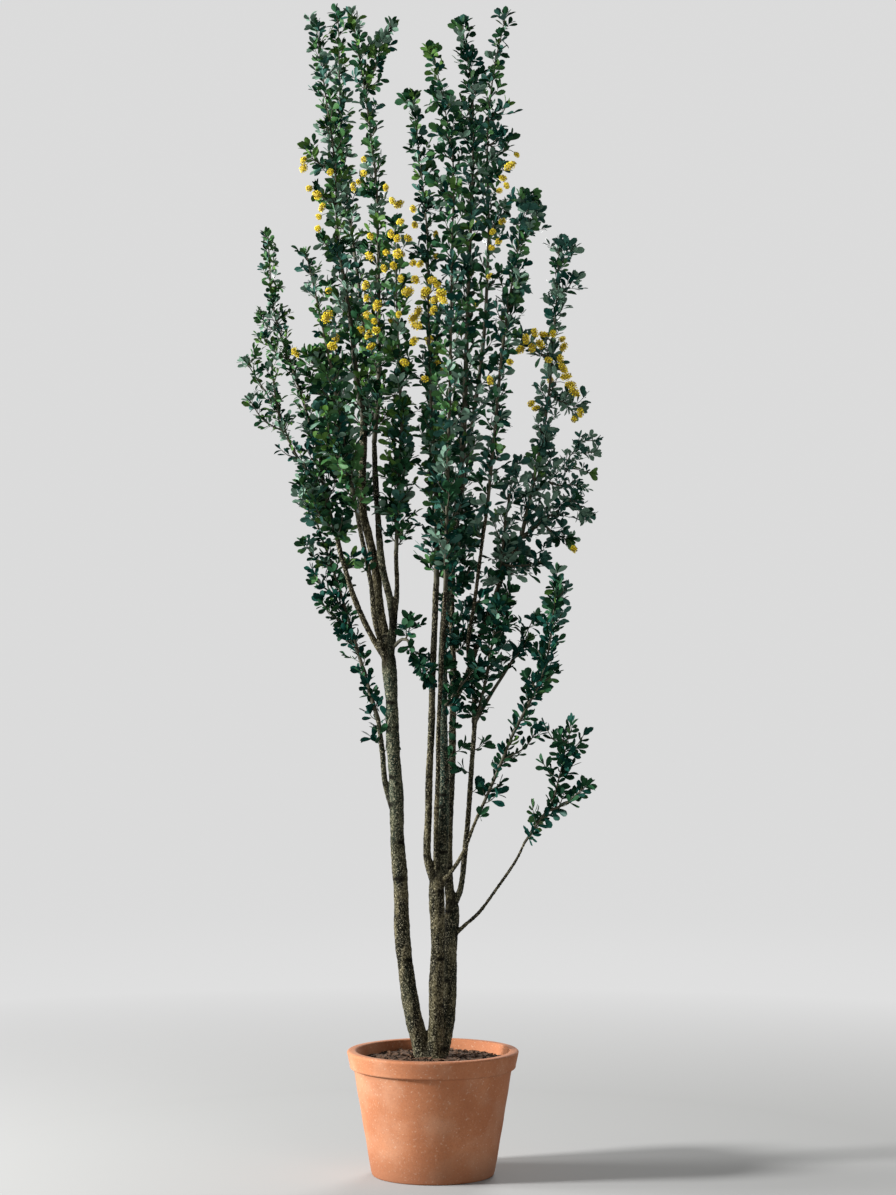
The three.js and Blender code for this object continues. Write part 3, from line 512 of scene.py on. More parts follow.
def turned(profile, sides, wobble=None):
    """Corners and faces of a form turned about the upright axis from a profile that starts and ends on it."""
    angles = np.arange(sides) * 2 * math.pi / sides
    radii, heights = np.array(profile[1:-1], float).T[:, :, None] * np.ones(sides)
    if wobble is not None:
        radii, heights = wobble(radii, heights, angles)
    corners = np.stack([radii * np.cos(angles), radii * np.sin(angles), heights], axis=-1).reshape(-1, 3)
    ends = [(0, 0, profile[0][1]), (0, 0, profile[-1][1])]
    return np.concatenate([corners, ends]), ring_faces(len(profile) - 2, sides)


# Materials
BUMP_STRENGTH = 0.6

# A mix node's sockets for colours, by number: its two inputs and its output
MIX_FIRST, MIX_SECOND, MIXED = 6, 7, 2


class Shader:
    """A material under construction: nodes are added by kind and joined by socket."""

    def __init__(self, name, roughness, specular):
        self.material = bpy.data.materials.new(name)
        self.material.use_nodes = True
        self.tree = self.material.node_tree
        self.surface = self.tree.nodes["Principled BSDF"]
        self.give("Roughness", roughness)
        self.give("Specular IOR Level", specular)
        self.place = self.tree.nodes.new("ShaderNodeTexCoord").outputs["Object"]

    def put(self, value, target):
        """Sets a socket to a number, a vector or a colour, or joins another node's output to it."""
        if isinstance(value, bpy.types.NodeSocket):
            self.tree.links.new(value, target)
        else:
            target.default_value = (*value, 1) if target.type == "RGBA" else value

    def give(self, name, value):
        """Sets or joins one of the surface's own inputs."""
        self.put(value, self.surface.inputs[name])
        return self

    def node(self, kind, inputs, **settings):
        made = self.tree.nodes.new(kind)
        for name, value in settings.items():
            setattr(made, name, value)
        for name, value in inputs.items():
            self.put(value, made.inputs[name])
        return made

    def noise(self, scale, detail=3, stretch=(1, 1, 1), distortion=0):
        """Cloudy noise from 0 to 1, scale in cells a metre."""
        mapped = self.node("ShaderNodeMapping", {"Vector": self.place, "Scale": stretch})
        inputs = {"Vector": mapped.outputs["Vector"], "Scale": scale, "Detail": detail,
                  "Distortion": distortion}
        return self.node("ShaderNodeTexNoise", inputs).outputs["Fac"]

    def attribute(self, name):
        return self.node("ShaderNodeAttribute", {}, attribute_name=name).outputs["Fac"]

    def ramp(self, value, low, high, start=0, end=1):
        """A value that goes from start to end while another goes from low to high."""
        inputs = {"Value": value, "From Min": low, "From Max": high, "To Min": start, "To Max": end}
        return self.node("ShaderNodeMapRange", inputs).outputs["Result"]

    def scaled(self, value, factor):
        return self.node("ShaderNodeMath", {0: value, 1: factor}, operation="MULTIPLY").outputs[0]

    def blend(self, share, first, second):
        """A colour between two, each a colour or the output of another blend."""
        inputs = {"Factor": share, MIX_FIRST: first, MIX_SECOND: second}
        return self.node("ShaderNodeMix", inputs, data_type="RGBA").outputs[MIXED]

    def layered(self, colour, *layers):
        """A colour with others laid over it in turn, each by its share times its strength."""
        for share, strength, over in layers:
            colour = self.blend(self.scaled(share, strength), colour, over)
        return colour

    def coloured(self, colour):
        return self.give("Base Color", colour)

    def rough(self, value, low, high):
        return self.give("Roughness", self.ramp(value, 0, 1, low, high))

    def bumped(self, *heights):
        """Small relief, from pairs of a value and its depth in millimetres."""
        below = {}
        for value, depth in heights:
            inputs = {"Strength": BUMP_STRENGTH, "Distance": depth * MM, "Height": value, **below}
            below = {"Normal": self.node("ShaderNodeBump", inputs).outputs["Normal"]}
        return self.give("Normal", below["Normal"])


def clay_material():
    """Terracotta: mottled, hazed and specked with lime, and damp at the foot."""
    shader = Shader("terracotta", 0.85, 0.25)
    mottle = shader.noise(9, 5)
    fine = shader.noise(260, 3)
    haze = shader.ramp(shader.noise(11, 7), 0.48, 0.66)
    specks = shader.ramp(shader.noise(170, 4), 0.6, 0.7)
    rings = shader.noise(30, 2, (0.02, 0.02, 4))
    height = shader.node("ShaderNodeSeparateXYZ", {"Vector": shader.place}).outputs["Z"]
    damp = shader.scaled(shader.ramp(height, 0.02, 0.09, 1, 0), mottle)
    base = shader.blend(shader.ramp(mottle, 0.3, 0.7), (0.3, 0.108, 0.046), (0.4, 0.16, 0.074))
    colour = shader.layered(
        base,
        (shader.ramp(fine, 0.45, 0.7), 0.4, (0.22, 0.08, 0.037)),
        (haze, 0.2, (0.52, 0.34, 0.23)),
        (specks, 0.35, (0.55, 0.4, 0.29)),
        (damp, 0.8, (0.15, 0.068, 0.036)))
    shader.coloured(colour).rough(mottle, 0.75, 0.95)
    return shader.bumped((fine, 0.5), (rings, 0.6)).material


def soil_material(name, dark, pale):
    shader = Shader(name, 0.95, 0.2)
    grain = shader.noise(420, 4)
    colour = shader.blend(shader.ramp(grain, 0.35, 0.7), dark, pale)
    return shader.coloured(colour).rough(grain, 0.85, 1).bumped((grain, 1.2)).material


def bark_material():
    """Grey-brown with pale flecks, dark scars across it, painted shade in the crotches, and greener where the
    limb is thin.
    """
    shader = Shader("bark", 0.85, 0.05)
    streaks = shader.noise(90, 6, (1, 1, 0.12), 0.5)
    mottle = shader.noise(52, 5, (1, 1, 0.3))
    grain = shader.noise(430, 4, (1, 1, 0.7))
    flecks = shader.ramp(grain, 0.54, 0.62)
    pits = shader.ramp(shader.noise(240, 4, (1, 1, 0.8)), 0.4, 0.5, 1, 0)
    moss = shader.ramp(shader.noise(6, 4, (1, 1, 0.3)), 0.5, 0.64)
    base = shader.blend(shader.ramp(streaks, 0.45, 0.64), (0.003, 0.003, 0.0015), (0.042, 0.038, 0.02))
    young = shader.blend(shader.ramp(streaks, 0.36, 0.64), (0.002, 0.002, 0.001), (0.024, 0.02, 0.011))
    colour = shader.layered(
        base,
        (shader.ramp(mottle, 0.49, 0.62), 0.45, (0.165, 0.14, 0.078)),
        (moss, 0.4, (0.013, 0.036, 0.027)),
        (shader.attribute("green"), shader.ramp(mottle, 0.3, 0.6), (0.014, 0.042, 0.034)),
        (shader.attribute("youth"), 1, young),
        (flecks, 0.5, (0.42, 0.38, 0.26)),
        (pits, 0.85, (0.004, 0.004, 0.002)),
        # Dark scars, with painted shade in the crotches and between close limbs laid on in the same dark
        # colour
        (shader.attribute("scar_and_crotch_shade"), 1, (0.004, 0.0035, 0.002)))
    shader.coloured(colour).rough(mottle, 0.75, 0.95)
    return shader.bumped((streaks, 1.4), (grain, 0.8)).material


def twig_material(name, dark, pale):
    shader = Shader(name, 0.75, 0.3)
    streaks = shader.noise(150, 4, (1, 1, 0.3))
    colour = shader.blend(shader.ramp(streaks, 0.3, 0.7), dark, pale)
    return shader.coloured(colour).bumped((streaks, 0.5)).material


def leaf_material(name, colour, roughness, specular):
    """One tint of leaf, a little uneven, with a soft waxy shine."""
    shader = Shader(name, roughness, specular)
    uneven = shader.noise(120, 3)
    darker = tuple(0.72 * part for part in colour)
    paler = tuple(1.3 * part for part in colour)
    shader.coloured(shader.blend(uneven, darker, paler)).bumped((shader.noise(700, 2), 0.3))
    return shader.material


def petal_material(name, colour):
    shader = Shader(name, 0.6, 0.3)
    uneven = shader.noise(300, 2)
    deeper = (0.88 * colour[0], 0.78 * colour[1], 0.6 * colour[2])
    return shader.coloured(shader.blend(uneven, deeper, colour)).material


# Pot and soil
def pot_radius_at(height):
    return mix(POT_FOOT_RADIUS, POT_TOP_RADIUS, height / POT_HEIGHT)


def arc(centre, radius, start, end, steps=5):
    """Points on a bend in a profile, between two angles in degrees."""
    angles = np.radians(np.linspace(start, end, steps))
    return [(centre[0] + radius * math.cos(a), centre[1] + radius * math.sin(a)) for a in angles]


def make_pot():
    """Pot: rounded at its foot and rim, a little uneven from the making, and drained by three holes."""
    band_foot = POT_HEIGHT - POT_RIM_HEIGHT
    band_radius = pot_radius_at(band_foot) + POT_RIM_LIP
    inner_floor = pot_radius_at(POT_FLOOR) - POT_WALL
    brim = POT_HEIGHT - POT_EDGE
    wall = [(pot_radius_at(h), h) for h in np.linspace(8, band_foot - 3, 26)]
    band = [(mix(band_radius, POT_TOP_RADIUS + POT_RIM_LIP, s) - 0.2, mix(band_foot + BAND_EDGE, brim, s))
            for s in np.linspace(0.08, 0.92, 6)]
    inside = [(pot_radius_at(h) - POT_WALL, h) for h in np.linspace(POT_HEIGHT - 8, POT_FLOOR + 4, 16)]
    profile = [
        (0, 0), (60, 0), (110, 0), *arc((POT_FOOT_RADIUS - POT_EDGE, POT_EDGE), POT_EDGE, -90, -10), *wall,
        (pot_radius_at(band_foot) + 1.5, band_foot - 0.6),
        *arc((band_radius - BAND_EDGE, band_foot + BAND_EDGE), BAND_EDGE, -90, 0), *band,
        *arc((POT_TOP_RADIUS + POT_RIM_LIP - 5.5, brim), POT_EDGE, 0, 90),
        *arc((POT_TOP_RADIUS - POT_WALL + POT_EDGE, brim), POT_EDGE, 90, 180), *inside,
        (inner_floor - 4, POT_FLOOR), (60, POT_FLOOR), (0, POT_FLOOR),
    ]

    def wobble(radii, heights, angles):
        throwing = 0.35 * np.sin(heights * 0.55 + 0.5 * np.sin(angles))
        hand = 0.5 * np.sin(2 * angles + 0.8) + 0.3 * np.sin(5 * angles + heights * 0.02)
        on_wall = (heights > 6) & (radii > 100)
        return radii + np.where(on_wall, throwing + hand, 0), heights

    forms = Forms()
    forms.add(*turned(profile, POT_SIDES, wobble))
    pot = forms.made("clay_pot", [clay_material()], "clay", ["pot"])
    holes = Forms()
    for i in range(DRAIN_COUNT):
        angle = 2 * math.pi * i / DRAIN_COUNT
        x, y = DRAIN_CIRCLE_RADIUS * math.cos(angle), DRAIN_CIRCLE_RADIUS * math.sin(angle)
        holes.add(*tube([(x, y, -POT_FLOOR), (x, y, 2 * POT_FLOOR)], DRAIN_RADIUS, 24))
    drill = placed("drill", holes.mesh("drill"))
    cut = pot.modifiers.new("holes", "BOOLEAN")
    cut.operation = "DIFFERENCE"
    cut.object = drill
    cut.solver = "EXACT"
    apply_modifiers(pot)
    bpy.data.objects.remove(drill)
    shade(pot.data)
    pot.data.set_sharp_from_angle(angle=math.radians(SHARP_ANGLE))


def apply_modifiers(piece):
    """Makes the piece's mesh what its modifiers show, and drops them."""
    bpy.context.view_layer.update()
    shown = piece.evaluated_get(bpy.context.evaluated_depsgraph_get())
    mesh = bpy.data.meshes.new_from_object(shown)
    piece.modifiers.clear()
    piece.data = mesh


def soil_height(x, y):
    """The level of the soil's uneven surface."""
    radius = np.hypot(x, y)
    edge = pot_radius_at(SOIL_TOP) - POT_WALL
    fall = SOIL_EDGE_DROP * np.clip((radius - SOIL_PLATEAU) / (edge - SOIL_PLATEAU), 0, 1)
    swell = 1.6 * np.sin(x * 0.045 + 1) * np.cos(y * 0.038) + 1.1 * np.sin(x * 0.11 + y * 0.07)
    return SOIL_TOP - fall + swell


def make_soil(rng):
    """Soil: a mound that fills the pot, strewn with crumbs and chips of bark."""
    foot = POT_FLOOR + 0.5
    edge_height = SOIL_TOP - SOIL_EDGE_DROP
    edge = pot_radius_at(edge_height) - POT_WALL - 0.4
    profile = [(0, foot), (pot_radius_at(foot) - POT_WALL - 0.5, foot)]
    profile += [(radius, SOIL_TOP) for radius in np.linspace(edge, 4, SOIL_RINGS)]
    profile.append((0, SOIL_TOP))

    def wobble(radii, heights, angles):
        x, y = radii * np.cos(angles), radii * np.sin(angles)
        grain = 1.1 * np.sin(x * 0.9 + 2 * np.sin(y * 0.31)) * np.sin(y * 0.8 + 2 * np.cos(x * 0.27))
        return radii, np.where(heights > POT_FLOOR + 5, soil_height(x, y) + grain, heights)

    mound = Forms()
    mound.add(*turned(profile, SOIL_SIDES, wobble))
    tints = [
        soil_material("soil_dark", (0.014, 0.009, 0.006), (0.07, 0.046, 0.031)),
        soil_material("soil_pale", (0.026, 0.017, 0.011), (0.095, 0.064, 0.043)),
        soil_material("soil_bark_chip", (0.045, 0.025, 0.014), (0.13, 0.072, 0.042)),
    ]
    mound.made("soil_mound", tints, "soil", ["soil"])
    strewn = Forms()
    lump = np.array([(1, 0, 0), (-1, 0, 0), (0, 1, 0), (0, -1, 0), (0, 0, 1), (0, 0, -1)], float)
    lump_faces = [(0, 2, 4), (2, 1, 4), (1, 3, 4), (3, 0, 4), (2, 0, 5), (1, 2, 5), (3, 1, 5), (0, 3, 5)]
    chip = np.array([(x, y, z) for x in (-1, 1) for y in (-1, 1) for z in (-1, 1)], float)
    chip_faces = [(0, 1, 3), (0, 3, 2), (4, 6, 7), (4, 7, 5), (0, 4, 5), (0, 5, 1), (2, 3, 7), (2, 7, 6),
                  (0, 2, 6), (0, 6, 4), (1, 5, 7), (1, 7, 3)]
    for i in range(SOIL_CRUMBS + SOIL_CHIPS):
        is_chip = i >= SOIL_CRUMBS
        radius = (edge - SOIL_MARGIN) * math.sqrt(rng.random())
        angle = rng.random() * 2 * math.pi
        x, y = radius * math.cos(angle), radius * math.sin(angle)
        turn = unit(rng.normal(size=(3, 3)))
        if is_chip:
            size = rng.uniform(*CHIP_SIZES) * np.array([1, rng.uniform(0.3, 0.6), rng.uniform(0.1, 0.22)])
            slope = unit(np.array([*rng.normal(0, 0.22, 2), 1]))
            across = unit(np.cross(slope, [math.cos(angle * 7), math.sin(angle * 7), 0]))
            axes = np.array([np.cross(across, slope), across, slope])
            corners = (chip * rng.uniform(0.75, 1.1, chip.shape) * size) @ axes
            strewn.add(corners + (x, y, soil_height(x, y) + 2), chip_faces, 2)
        else:
            size = rng.uniform(*CRUMB_SIZES) * rng.uniform(0.7, 1.2, (6, 1))
            corners = (lump * size) @ turn
            tint = int(rng.random() < PALE_CRUMBS)
            strewn.add(corners + (x, y, soil_height(x, y) + 0.5), lump_faces, tint)
    strewn.made("soil_crumbs", tints, "soil", ["soil"], smooth=False)


# Wood
def scars_on(limb, rng):
    """Places on a limb's skin where old shoots have left dark scars."""
    steps = rng.uniform(0.4, 1.6, int(2 * limb.length / SCAR_SPACING) + 2) * SCAR_SPACING
    along = np.cumsum(steps)
    along = along[along < limb.length - 10]
    angles = rng.uniform(0, 2 * math.pi, len(along))
    outward = np.stack([np.cos(angles), np.sin(angles), 0 * angles], axis=-1)
    share = along / limb.length
    return limb.place(share) + outward * limb.radius(share)[:, None]


def grow_wood():
    """The stems and boughs as limbs, by name."""
    limbs = {}
    for name, foot_width, tip_width, through in STEMS:
        limbs[name] = Limb(through, foot_width / 2, tip_width / 2)
    for name, parent, at, foot_width, tip_width, through in BOUGHS:
        limbs[name] = Limb([limbs[parent].foot(at), *through], foot_width / 2, tip_width / 2)
    return limbs


def tree_of(places):
    """A search tree for the nearest of many places."""
    tree = KDTree(len(places))
    for i, place in enumerate(places):
        tree.insert(Vector(place), i)
    tree.balance()
    return tree


def stool_form():
    """The swollen foot that the three stems rise from, spread a little into root ridges."""
    ground = SOIL_TOP - STOOL_SINK
    profile = [(0, ground), (STOOL_FLARE_RADIUS + 3, ground)]
    for share in np.linspace(0, 1, 9):
        radius = mix(STOOL_FLARE_RADIUS, STOOL_TOP_RADIUS, share ** 0.8)
        profile.append((radius, mix(SOIL_TOP - 2, SOIL_TOP + STOOL_FLARE_HEIGHT, share)))
    profile.append((0, SOIL_TOP + STOOL_FLARE_HEIGHT))

    def ridges(radii, heights, angles):
        low = np.clip(1 - (heights - SOIL_TOP) / STOOL_FLARE_HEIGHT, 0, 1)
        return radii * (1 + 0.09 * low * np.sin(5 * angles + 0.6) + 0.05 * low * np.sin(9 * angles)), heights

    return turned(profile, STOOL_SIDES, ridges)


def skin_depths(limbs, corners):
    """Which limb each corner belongs to, its girth and axis there, and how far off the next limb's
    skin is."""
    depths = np.full((len(limbs), len(corners)), FAR)
    girths = np.zeros((len(limbs), len(corners)))
    spots = np.zeros((len(limbs), len(corners), 3))
    for row, limb in enumerate(limbs.values()):
        share = np.linspace(0, 1, max(8, int(limb.length / BARK_STEP)))
        axis, radius = limb.place(share), limb.radius(share)
        tree = tree_of(axis)
        low, high = axis.min(axis=0) - FAR, axis.max(axis=0) + FAR
        for i in np.flatnonzero(((corners > low) & (corners < high)).all(axis=1)):
            _, point, distance = tree.find(Vector(corners[i]))
            depths[row, i] = distance - radius[point]
            girths[row, i] = radius[point]
            spots[row, i] = axis[point]
    owner = depths.argmin(axis=0)
    everyone = np.arange(len(corners))
    return owner, girths[owner, everyone], spots[owner, everyone], np.sort(depths, axis=0)[1]


def read_corners(mesh, name):
    """The places or normals of a mesh's corners."""
    values = np.zeros(len(mesh.vertices) * 3)
    mesh.vertices.foreach_get(name, values)
    return values.reshape(-1, 3)


def make_bark(limbs, rng):
    """Wood: all stems and boughs as one skin that runs smoothly through the forks, with its relief."""
    forms = Forms()
    forms.add(*stool_form())
    stems = [limbs[name] for name, *_ in STEMS]
    scars = []
    for limb in limbs.values():
        share = np.linspace(0, 1, max(8, int(limb.length / BARK_STEP)))
        along = share * limb.length
        radius = limb.radius(share)
        swell = 1 + 0.03 * np.sin(along / 23 + radius) + 0.02 * np.sin(along / 9 + 2 * radius)
        collar = 1 + COLLAR_SWELL * np.exp(-along / (2.2 * radius[0] + 4))
        if limb in stems:
            collar += FORK_SWELL * np.exp(-((limb.length - along) / FORK_SWELL_LENGTH - 1) ** 2)
        wander = WANDER * radius * np.sin(along / 37 + radius[0])
        place = limb.place(share)
        place[:, 0] += wander
        place[:, 1] += 0.7 * np.roll(wander, 3)
        forms.add(*tube(place, radius * swell * collar, TRUNK_SIDES))
        scars.extend(scars_on(limb, rng))
    skin = forms.made("bark", [bark_material()], "bark", list(limbs))
    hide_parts("root_crown")
    for kind, values in (("REMESH", {"mode": "VOXEL", "voxel_size": BARK_VOXEL * MM}),
                         ("SMOOTH", {"factor": 0.5, "iterations": 3})):
        modifier = skin.modifiers.new(kind.lower(), kind)
        for key, value in values.items():
            setattr(modifier, key, value)
    materials = list(skin.data.materials)
    apply_modifiers(skin)
    mesh = skin.data
    mesh.materials.clear()
    for material in materials:
        mesh.materials.append(material)
    nearest_scar = tree_of(scars)
    corners = read_corners(mesh, "co") / MM
    normals = read_corners(mesh, "normal")
    owner, girth, spot, next_skin = skin_depths(limbs, corners)
    angle = np.arctan2(corners[:, 1] - spot[:, 1], corners[:, 0] - spot[:, 0])
    ripple = np.sin(5 * angle + 0.05 * corners[:, 2]) * np.sin(corners[:, 2] / 11 + 3 * angle)
    furrow = 0.022 * girth * ripple + 0.35 * np.sin(corners[:, 2] / 3.1 + 4 * np.sin(angle * 2))
    corners += normals * (furrow + SKIN_GRAIN * rng.normal(size=len(corners)))[:, None]
    mesh.vertices.foreach_set("co", (corners * MM).ravel())
    squash = np.array([1, 1, SCAR_FLATNESS])
    to_scar = np.array(scars)[[nearest_scar.find(Vector(corner))[1] for corner in corners]] - corners
    to_scar = np.linalg.norm(to_scar * squash, axis=1)
    scar_and_crotch_shade = np.clip(1.6 - to_scar / (0.85 * girth + 3), 0, 1)
    # Painted shade where another limb's skin is near, in the crotches and between close limbs, joins the
    # scars
    scar_and_crotch_shade = np.maximum(scar_and_crotch_shade, CREVICE_PAINTED_SHADE * np.clip(1.2 - next_skin / CREVICE_SHADE_REACH, 0, 1))
    youth = np.clip((11 - girth) / 6, 0, 1) * np.clip((corners[:, 2] - 800) / 500, 0.2, 1)
    green = np.array([GREENED.get(name, 0) for name in limbs])[owner]
    green *= np.clip((corners[:, 2] - 690) / 250, 0, 1)
    for name, values in (("scar_and_crotch_shade", scar_and_crotch_shade), ("youth", youth), ("green", green)):
        mesh.attributes.new(name, "FLOAT", "POINT").data.foreach_set("value", values.astype(np.float32))
    shade(mesh)
    mesh.update()


# Leaves
LEAF_STATIONS = [(0, 0), (0.15, 0.07), (0.4, 0.185), (0.66, 0.245), (0.87, 0.18), (1, 0)]
LEAF_KINDS = [(1, 0.22, 0.1), (0.88, 0.36, 0.2), (1.1, 0.16, 0.02), (0.96, 0.3, -0.08)]


def leaf_shape(width, fold, bend):
    """A leaf of length 1 along X, folded along its midrib and bent down: corners and faces."""
    middle = [(t, 0, -bend * t * t) for t, _ in LEAF_STATIONS]
    edges = [(t, side * w * width, fold * w - bend * t * t)
             for side in (1, -1) for t, w in LEAF_STATIONS[1:-1]]
    faces = []
    for side, first in ((1, 6), (-1, 10)):
        strip = [(0, 1, first)]
        for i in range(3):
            strip += [(1 + i, 2 + i, first + i), (2 + i, first + i + 1, first + i)]
        strip.append((4, 5, first + 3))
        faces += strip if side > 0 else [face[::-1] for face in strip]
    return np.array(middle + edges), np.array(faces)


LEAF_SHAPES = [leaf_shape(*kind) for kind in LEAF_KINDS]


def joined_leaves(rows, rng):
    """Corners, faces and tints of many leaves."""
    forms = Forms()
    kinds = rng.integers(0, len(LEAF_SHAPES), len(rows))
    for kind, (corners, faces) in enumerate(LEAF_SHAPES):
        chosen = rows[kinds == kind]
        ahead = unit(chosen[:, 3:6])
        across = unit(np.cross(chosen[:, 6:9], ahead))
        above = np.cross(ahead, across)
        length, width = chosen[:, 9, None, None], chosen[:, 10, None, None]
        x, y, z = corners.T[:, None, :, None]
        moved = chosen[:, None, :3] + length * (
            x * ahead[:, None] + width * y * across[:, None] + z * above[:, None])
        count = len(chosen)
        offsets = np.arange(count)[:, None, None] * len(corners)
        tints = np.repeat(chosen[:, 11].astype(int), len(faces))
        forms.add(moved.reshape(-1, 3), (faces[None] + offsets).reshape(-1, 3), tints)
    return forms


class Crown:
    """The growing crown of one part of the plant: its twigs, and its leaves, which wait to be joined. Each
    leaf is a row of its place, direction, upper side, length, width and tint."""

    def __init__(self, rng):
        self.rng = rng
        self.leaves = []
        self.twigs = Forms()
        self.axes = []
        self.size = 1.0

    def leaf_length(self, height):
        """Leaves are longest low down, where there is less light."""
        return self.size * float(np.interp(height, LEAF_HEIGHTS, LEAF_LENGTHS))

    def leaf(self, place, direction, upper, length, tint, rolled=1.0):
        """One leaf, rolled about its own length by some of a quarter turn."""
        direction = unit(direction + self.rng.normal(0, LEAF_WANDER, 3))
        roll = self.rng.choice((-1, 1)) * self.rng.uniform(*LEAF_ROLL)
        upper = unit(upper)
        upper = math.cos(roll * rolled) * upper + math.sin(roll * rolled) * np.cross(direction, upper)
        length = length * self.rng.uniform(*LEAF_SCALE)
        width = self.rng.uniform(*LEAF_WIDTH) * (1 if rolled == 1 else PAIRED_WIDTH)
        self.leaves.append([*place, *direction, *upper, length, width, tint])

    def tuft(self, place, heading, count, spread, length, tint):
        """Leaves that radiate round a heading, the inner ones steeper."""
        phase = self.rng.uniform(0, 2 * math.pi)
        for i in range(count):
            tilt = spread * (0.35 + 0.8 * i / max(1, count - 1)) * self.rng.uniform(0.75, 1.2)
            outward = outward_of(heading, phase + i * GOLDEN_ANGLE)
            direction = math.cos(tilt) * heading + math.sin(tilt) * outward
            upper = heading - direction * math.cos(tilt) * 0.9
            start = place - heading * self.rng.uniform(0, 5)
            self.leaf(start, direction, upper, length * (0.85 + 0.2 * i / count), tint)

    def pair(self, place, heading, turn, length, tint):
        """Two leaves opposite each other, in a plane that turns a little from pair to pair."""
        across = outward_of(heading, turn)
        above = np.cross(across, heading)
        for side in (1, -1):
            self.leaf(place, 0.62 * heading + side * 0.8 * across, above, length, tint, 0.45)

    def feather(self, place, heading, upper, pairs, length, tint):
        """A compound leaf: a thin stalk with leaves in pairs and one at its end."""
        upper = unit(upper - heading * (upper @ heading))
        across = np.cross(heading, upper)
        reach = length * 0.42 * (pairs + 0.4)
        line = [place + heading * reach * s - upper * 0.12 * reach * s * s for s in (0, 0.5, 1)]
        self.twigs.add(*tube(line, [0.8, 0.6, 0.4], 3), 1)
        for pair in range(pairs):
            share = (pair + 0.8) / (pairs + 0.2)
            spot = line[0] * (1 - share) + line[2] * share
            for side in (1, -1):
                direction = 0.55 * heading + side * across * 0.85
                self.leaf(spot, direction, upper, length * 0.86, tint, 0.5)
        self.leaf(line[2], heading, upper, length * 0.95, tint, 0.5)

    def cluster(self, place, outward, heading, length, tint):
        """What grows from one node: a tuft, or a compound leaf or two where leaves are long."""
        lean = unit(0.75 * outward + 0.65 * heading + (0, 0, 0.15))
        is_likely = place[2] < COMPOUND_BELOW and self.size == 1
        if self.rng.random() < COMPOUND_ODDS[0 if is_likely else 1]:
            pairs = int(self.rng.integers(*COMPOUND_PAIRS, endpoint=True))
            self.feather(place, lean, unit(heading + (0, 0, 0.4)), pairs, length, tint)
        else:
            count = max(1, int(round(self.rng.uniform(*TUFT_LEAVES))))
            self.tuft(place + outward * 2, lean, count, 1.1, length, tint)

    def alternate(self, place, outward, heading, length, tint):
        """One leaf of a row along a twig, or now and then two."""
        for _ in range(1 + (self.rng.random() < DOUBLE_LEAF_ODDS)):
            direction = unit(mix(0.5, 1.1, self.rng.random()) * outward + 0.7 * heading)
            self.leaf(place + outward * 1.5, direction, heading + (0, 0, 0.4), length, tint)

    def twig(self, place, direction, reach, radius, tint, is_paired=False):
        """A side twig that bends upward, with tufts or pairs of leaves along it and a tuft at its tip."""
        rise = unit(direction + (0, 0, 0.55))
        middle = place + direction * reach * 0.5
        tip = middle + rise * reach * 0.5
        line = Limb([place, middle, tip], radius, radius * 0.45)
        self.twigs.add(*line.skin(5, 4), 0)
        length = self.leaf_length(tip[2])
        count = max(1, int(round(reach / (PAIR_SPACING if is_paired else TWIG_NODE_SPACING))))
        phase = self.rng.uniform(0, 2 * math.pi)
        for i, (_, spot, heading, outward) in enumerate(stations(line, 0, count, 0.55, phase)):
            if is_paired:
                self.pair(spot, heading, phase + 0.25 * i, length, tint)
            else:
                self.alternate(spot, outward, heading, length, tint)
        count = 1 if is_paired else TWIG_TIP_LEAVES
        self.tuft(tip, line.heading(1), count, 0.95, length * 1.05, tint)

    def leader(self, limb, habit, phase, is_free, tint_at):
        """A leader with its tufts and twigs. Its habit is the name of its mass, how far its leaves stand
        out, how thickly its twigs stand, and how much of it is bare."""
        name, reach, fill, bare = habit
        fill *= FULLNESS.get(name, 1)
        is_paired = name in PAIRED
        self.size = LEAF_SIZES.get(name, 1)
        self.twigs.add(*limb.skin(max(6, int(limb.length / 14)), 7), 0)
        self.axes.append(limb)
        leafy = limb.length * (1 - bare)
        count = max(2, int(round(leafy * math.sqrt(fill) / NODE_SPACING)))
        for i, (share, place, heading, outward) in enumerate(stations(limb, bare, count, 0.5, phase)):
            tint = tint_at(place)
            length = self.leaf_length(place[2])
            if is_paired:
                self.pair(place, heading, phase + 0.4 * i, length, tint)
            else:
                self.cluster(place + outward * limb.radius(share), outward, heading, length, tint)
        count = max(1, int(round(leafy * fill / TWIG_SPACING)))
        for share, place, heading, outward in stations(limb, bare, count, 0.3, phase):
            direction = math.cos(TWIG_TILT) * heading + math.sin(TWIG_TILT) * outward
            length = reach * mix(*TWIG_REACH, self.rng.random() ** 1.6)
            if is_free:
                length *= 1 - TIP_TAPER * share ** 2
            foot = place + outward * limb.radius(share) * 0.5
            self.twig(foot, direction, length, min(1.7, 0.6 * limb.radius(share)), tint_at(place), is_paired)
        if is_free:
            tip = limb.place(1)
            count = PAIRED_TIP_LEAVES if is_paired else TIP_LEAVES
            self.tuft(tip, limb.heading(1), count, 0.7, 1.12 * self.leaf_length(tip[2]), tint_at(tip))


# Each tint: a name, a colour, a roughness and a shine. The shade tint is painted shade for leaves deep in the
# crown; the grey tint is partly the leaves' own grey-green and partly painted sheen of lit leaves
LEAF_TINTS = [
    ("leaf_deep", (0.011, 0.047, 0.019), 0.55, 0.05),
    ("leaf_blue", (0.02, 0.07, 0.053), 0.45, 0.1),
    ("leaf_mid", (0.036, 0.1, 0.03), 0.5, 0.1),
    ("leaf_grey_and_painted_sheen", (0.096, 0.166, 0.12), 0.38, 0.1),
    ("leaf_fresh", (0.05, 0.112, 0.02), 0.5, 0.1),
    ("leaf_painted_shade", (0.004, 0.022, 0.01), 0.65, 0.03),
    ("leaf_teal", (0.004, 0.034, 0.025), 0.6, 0.03),
]
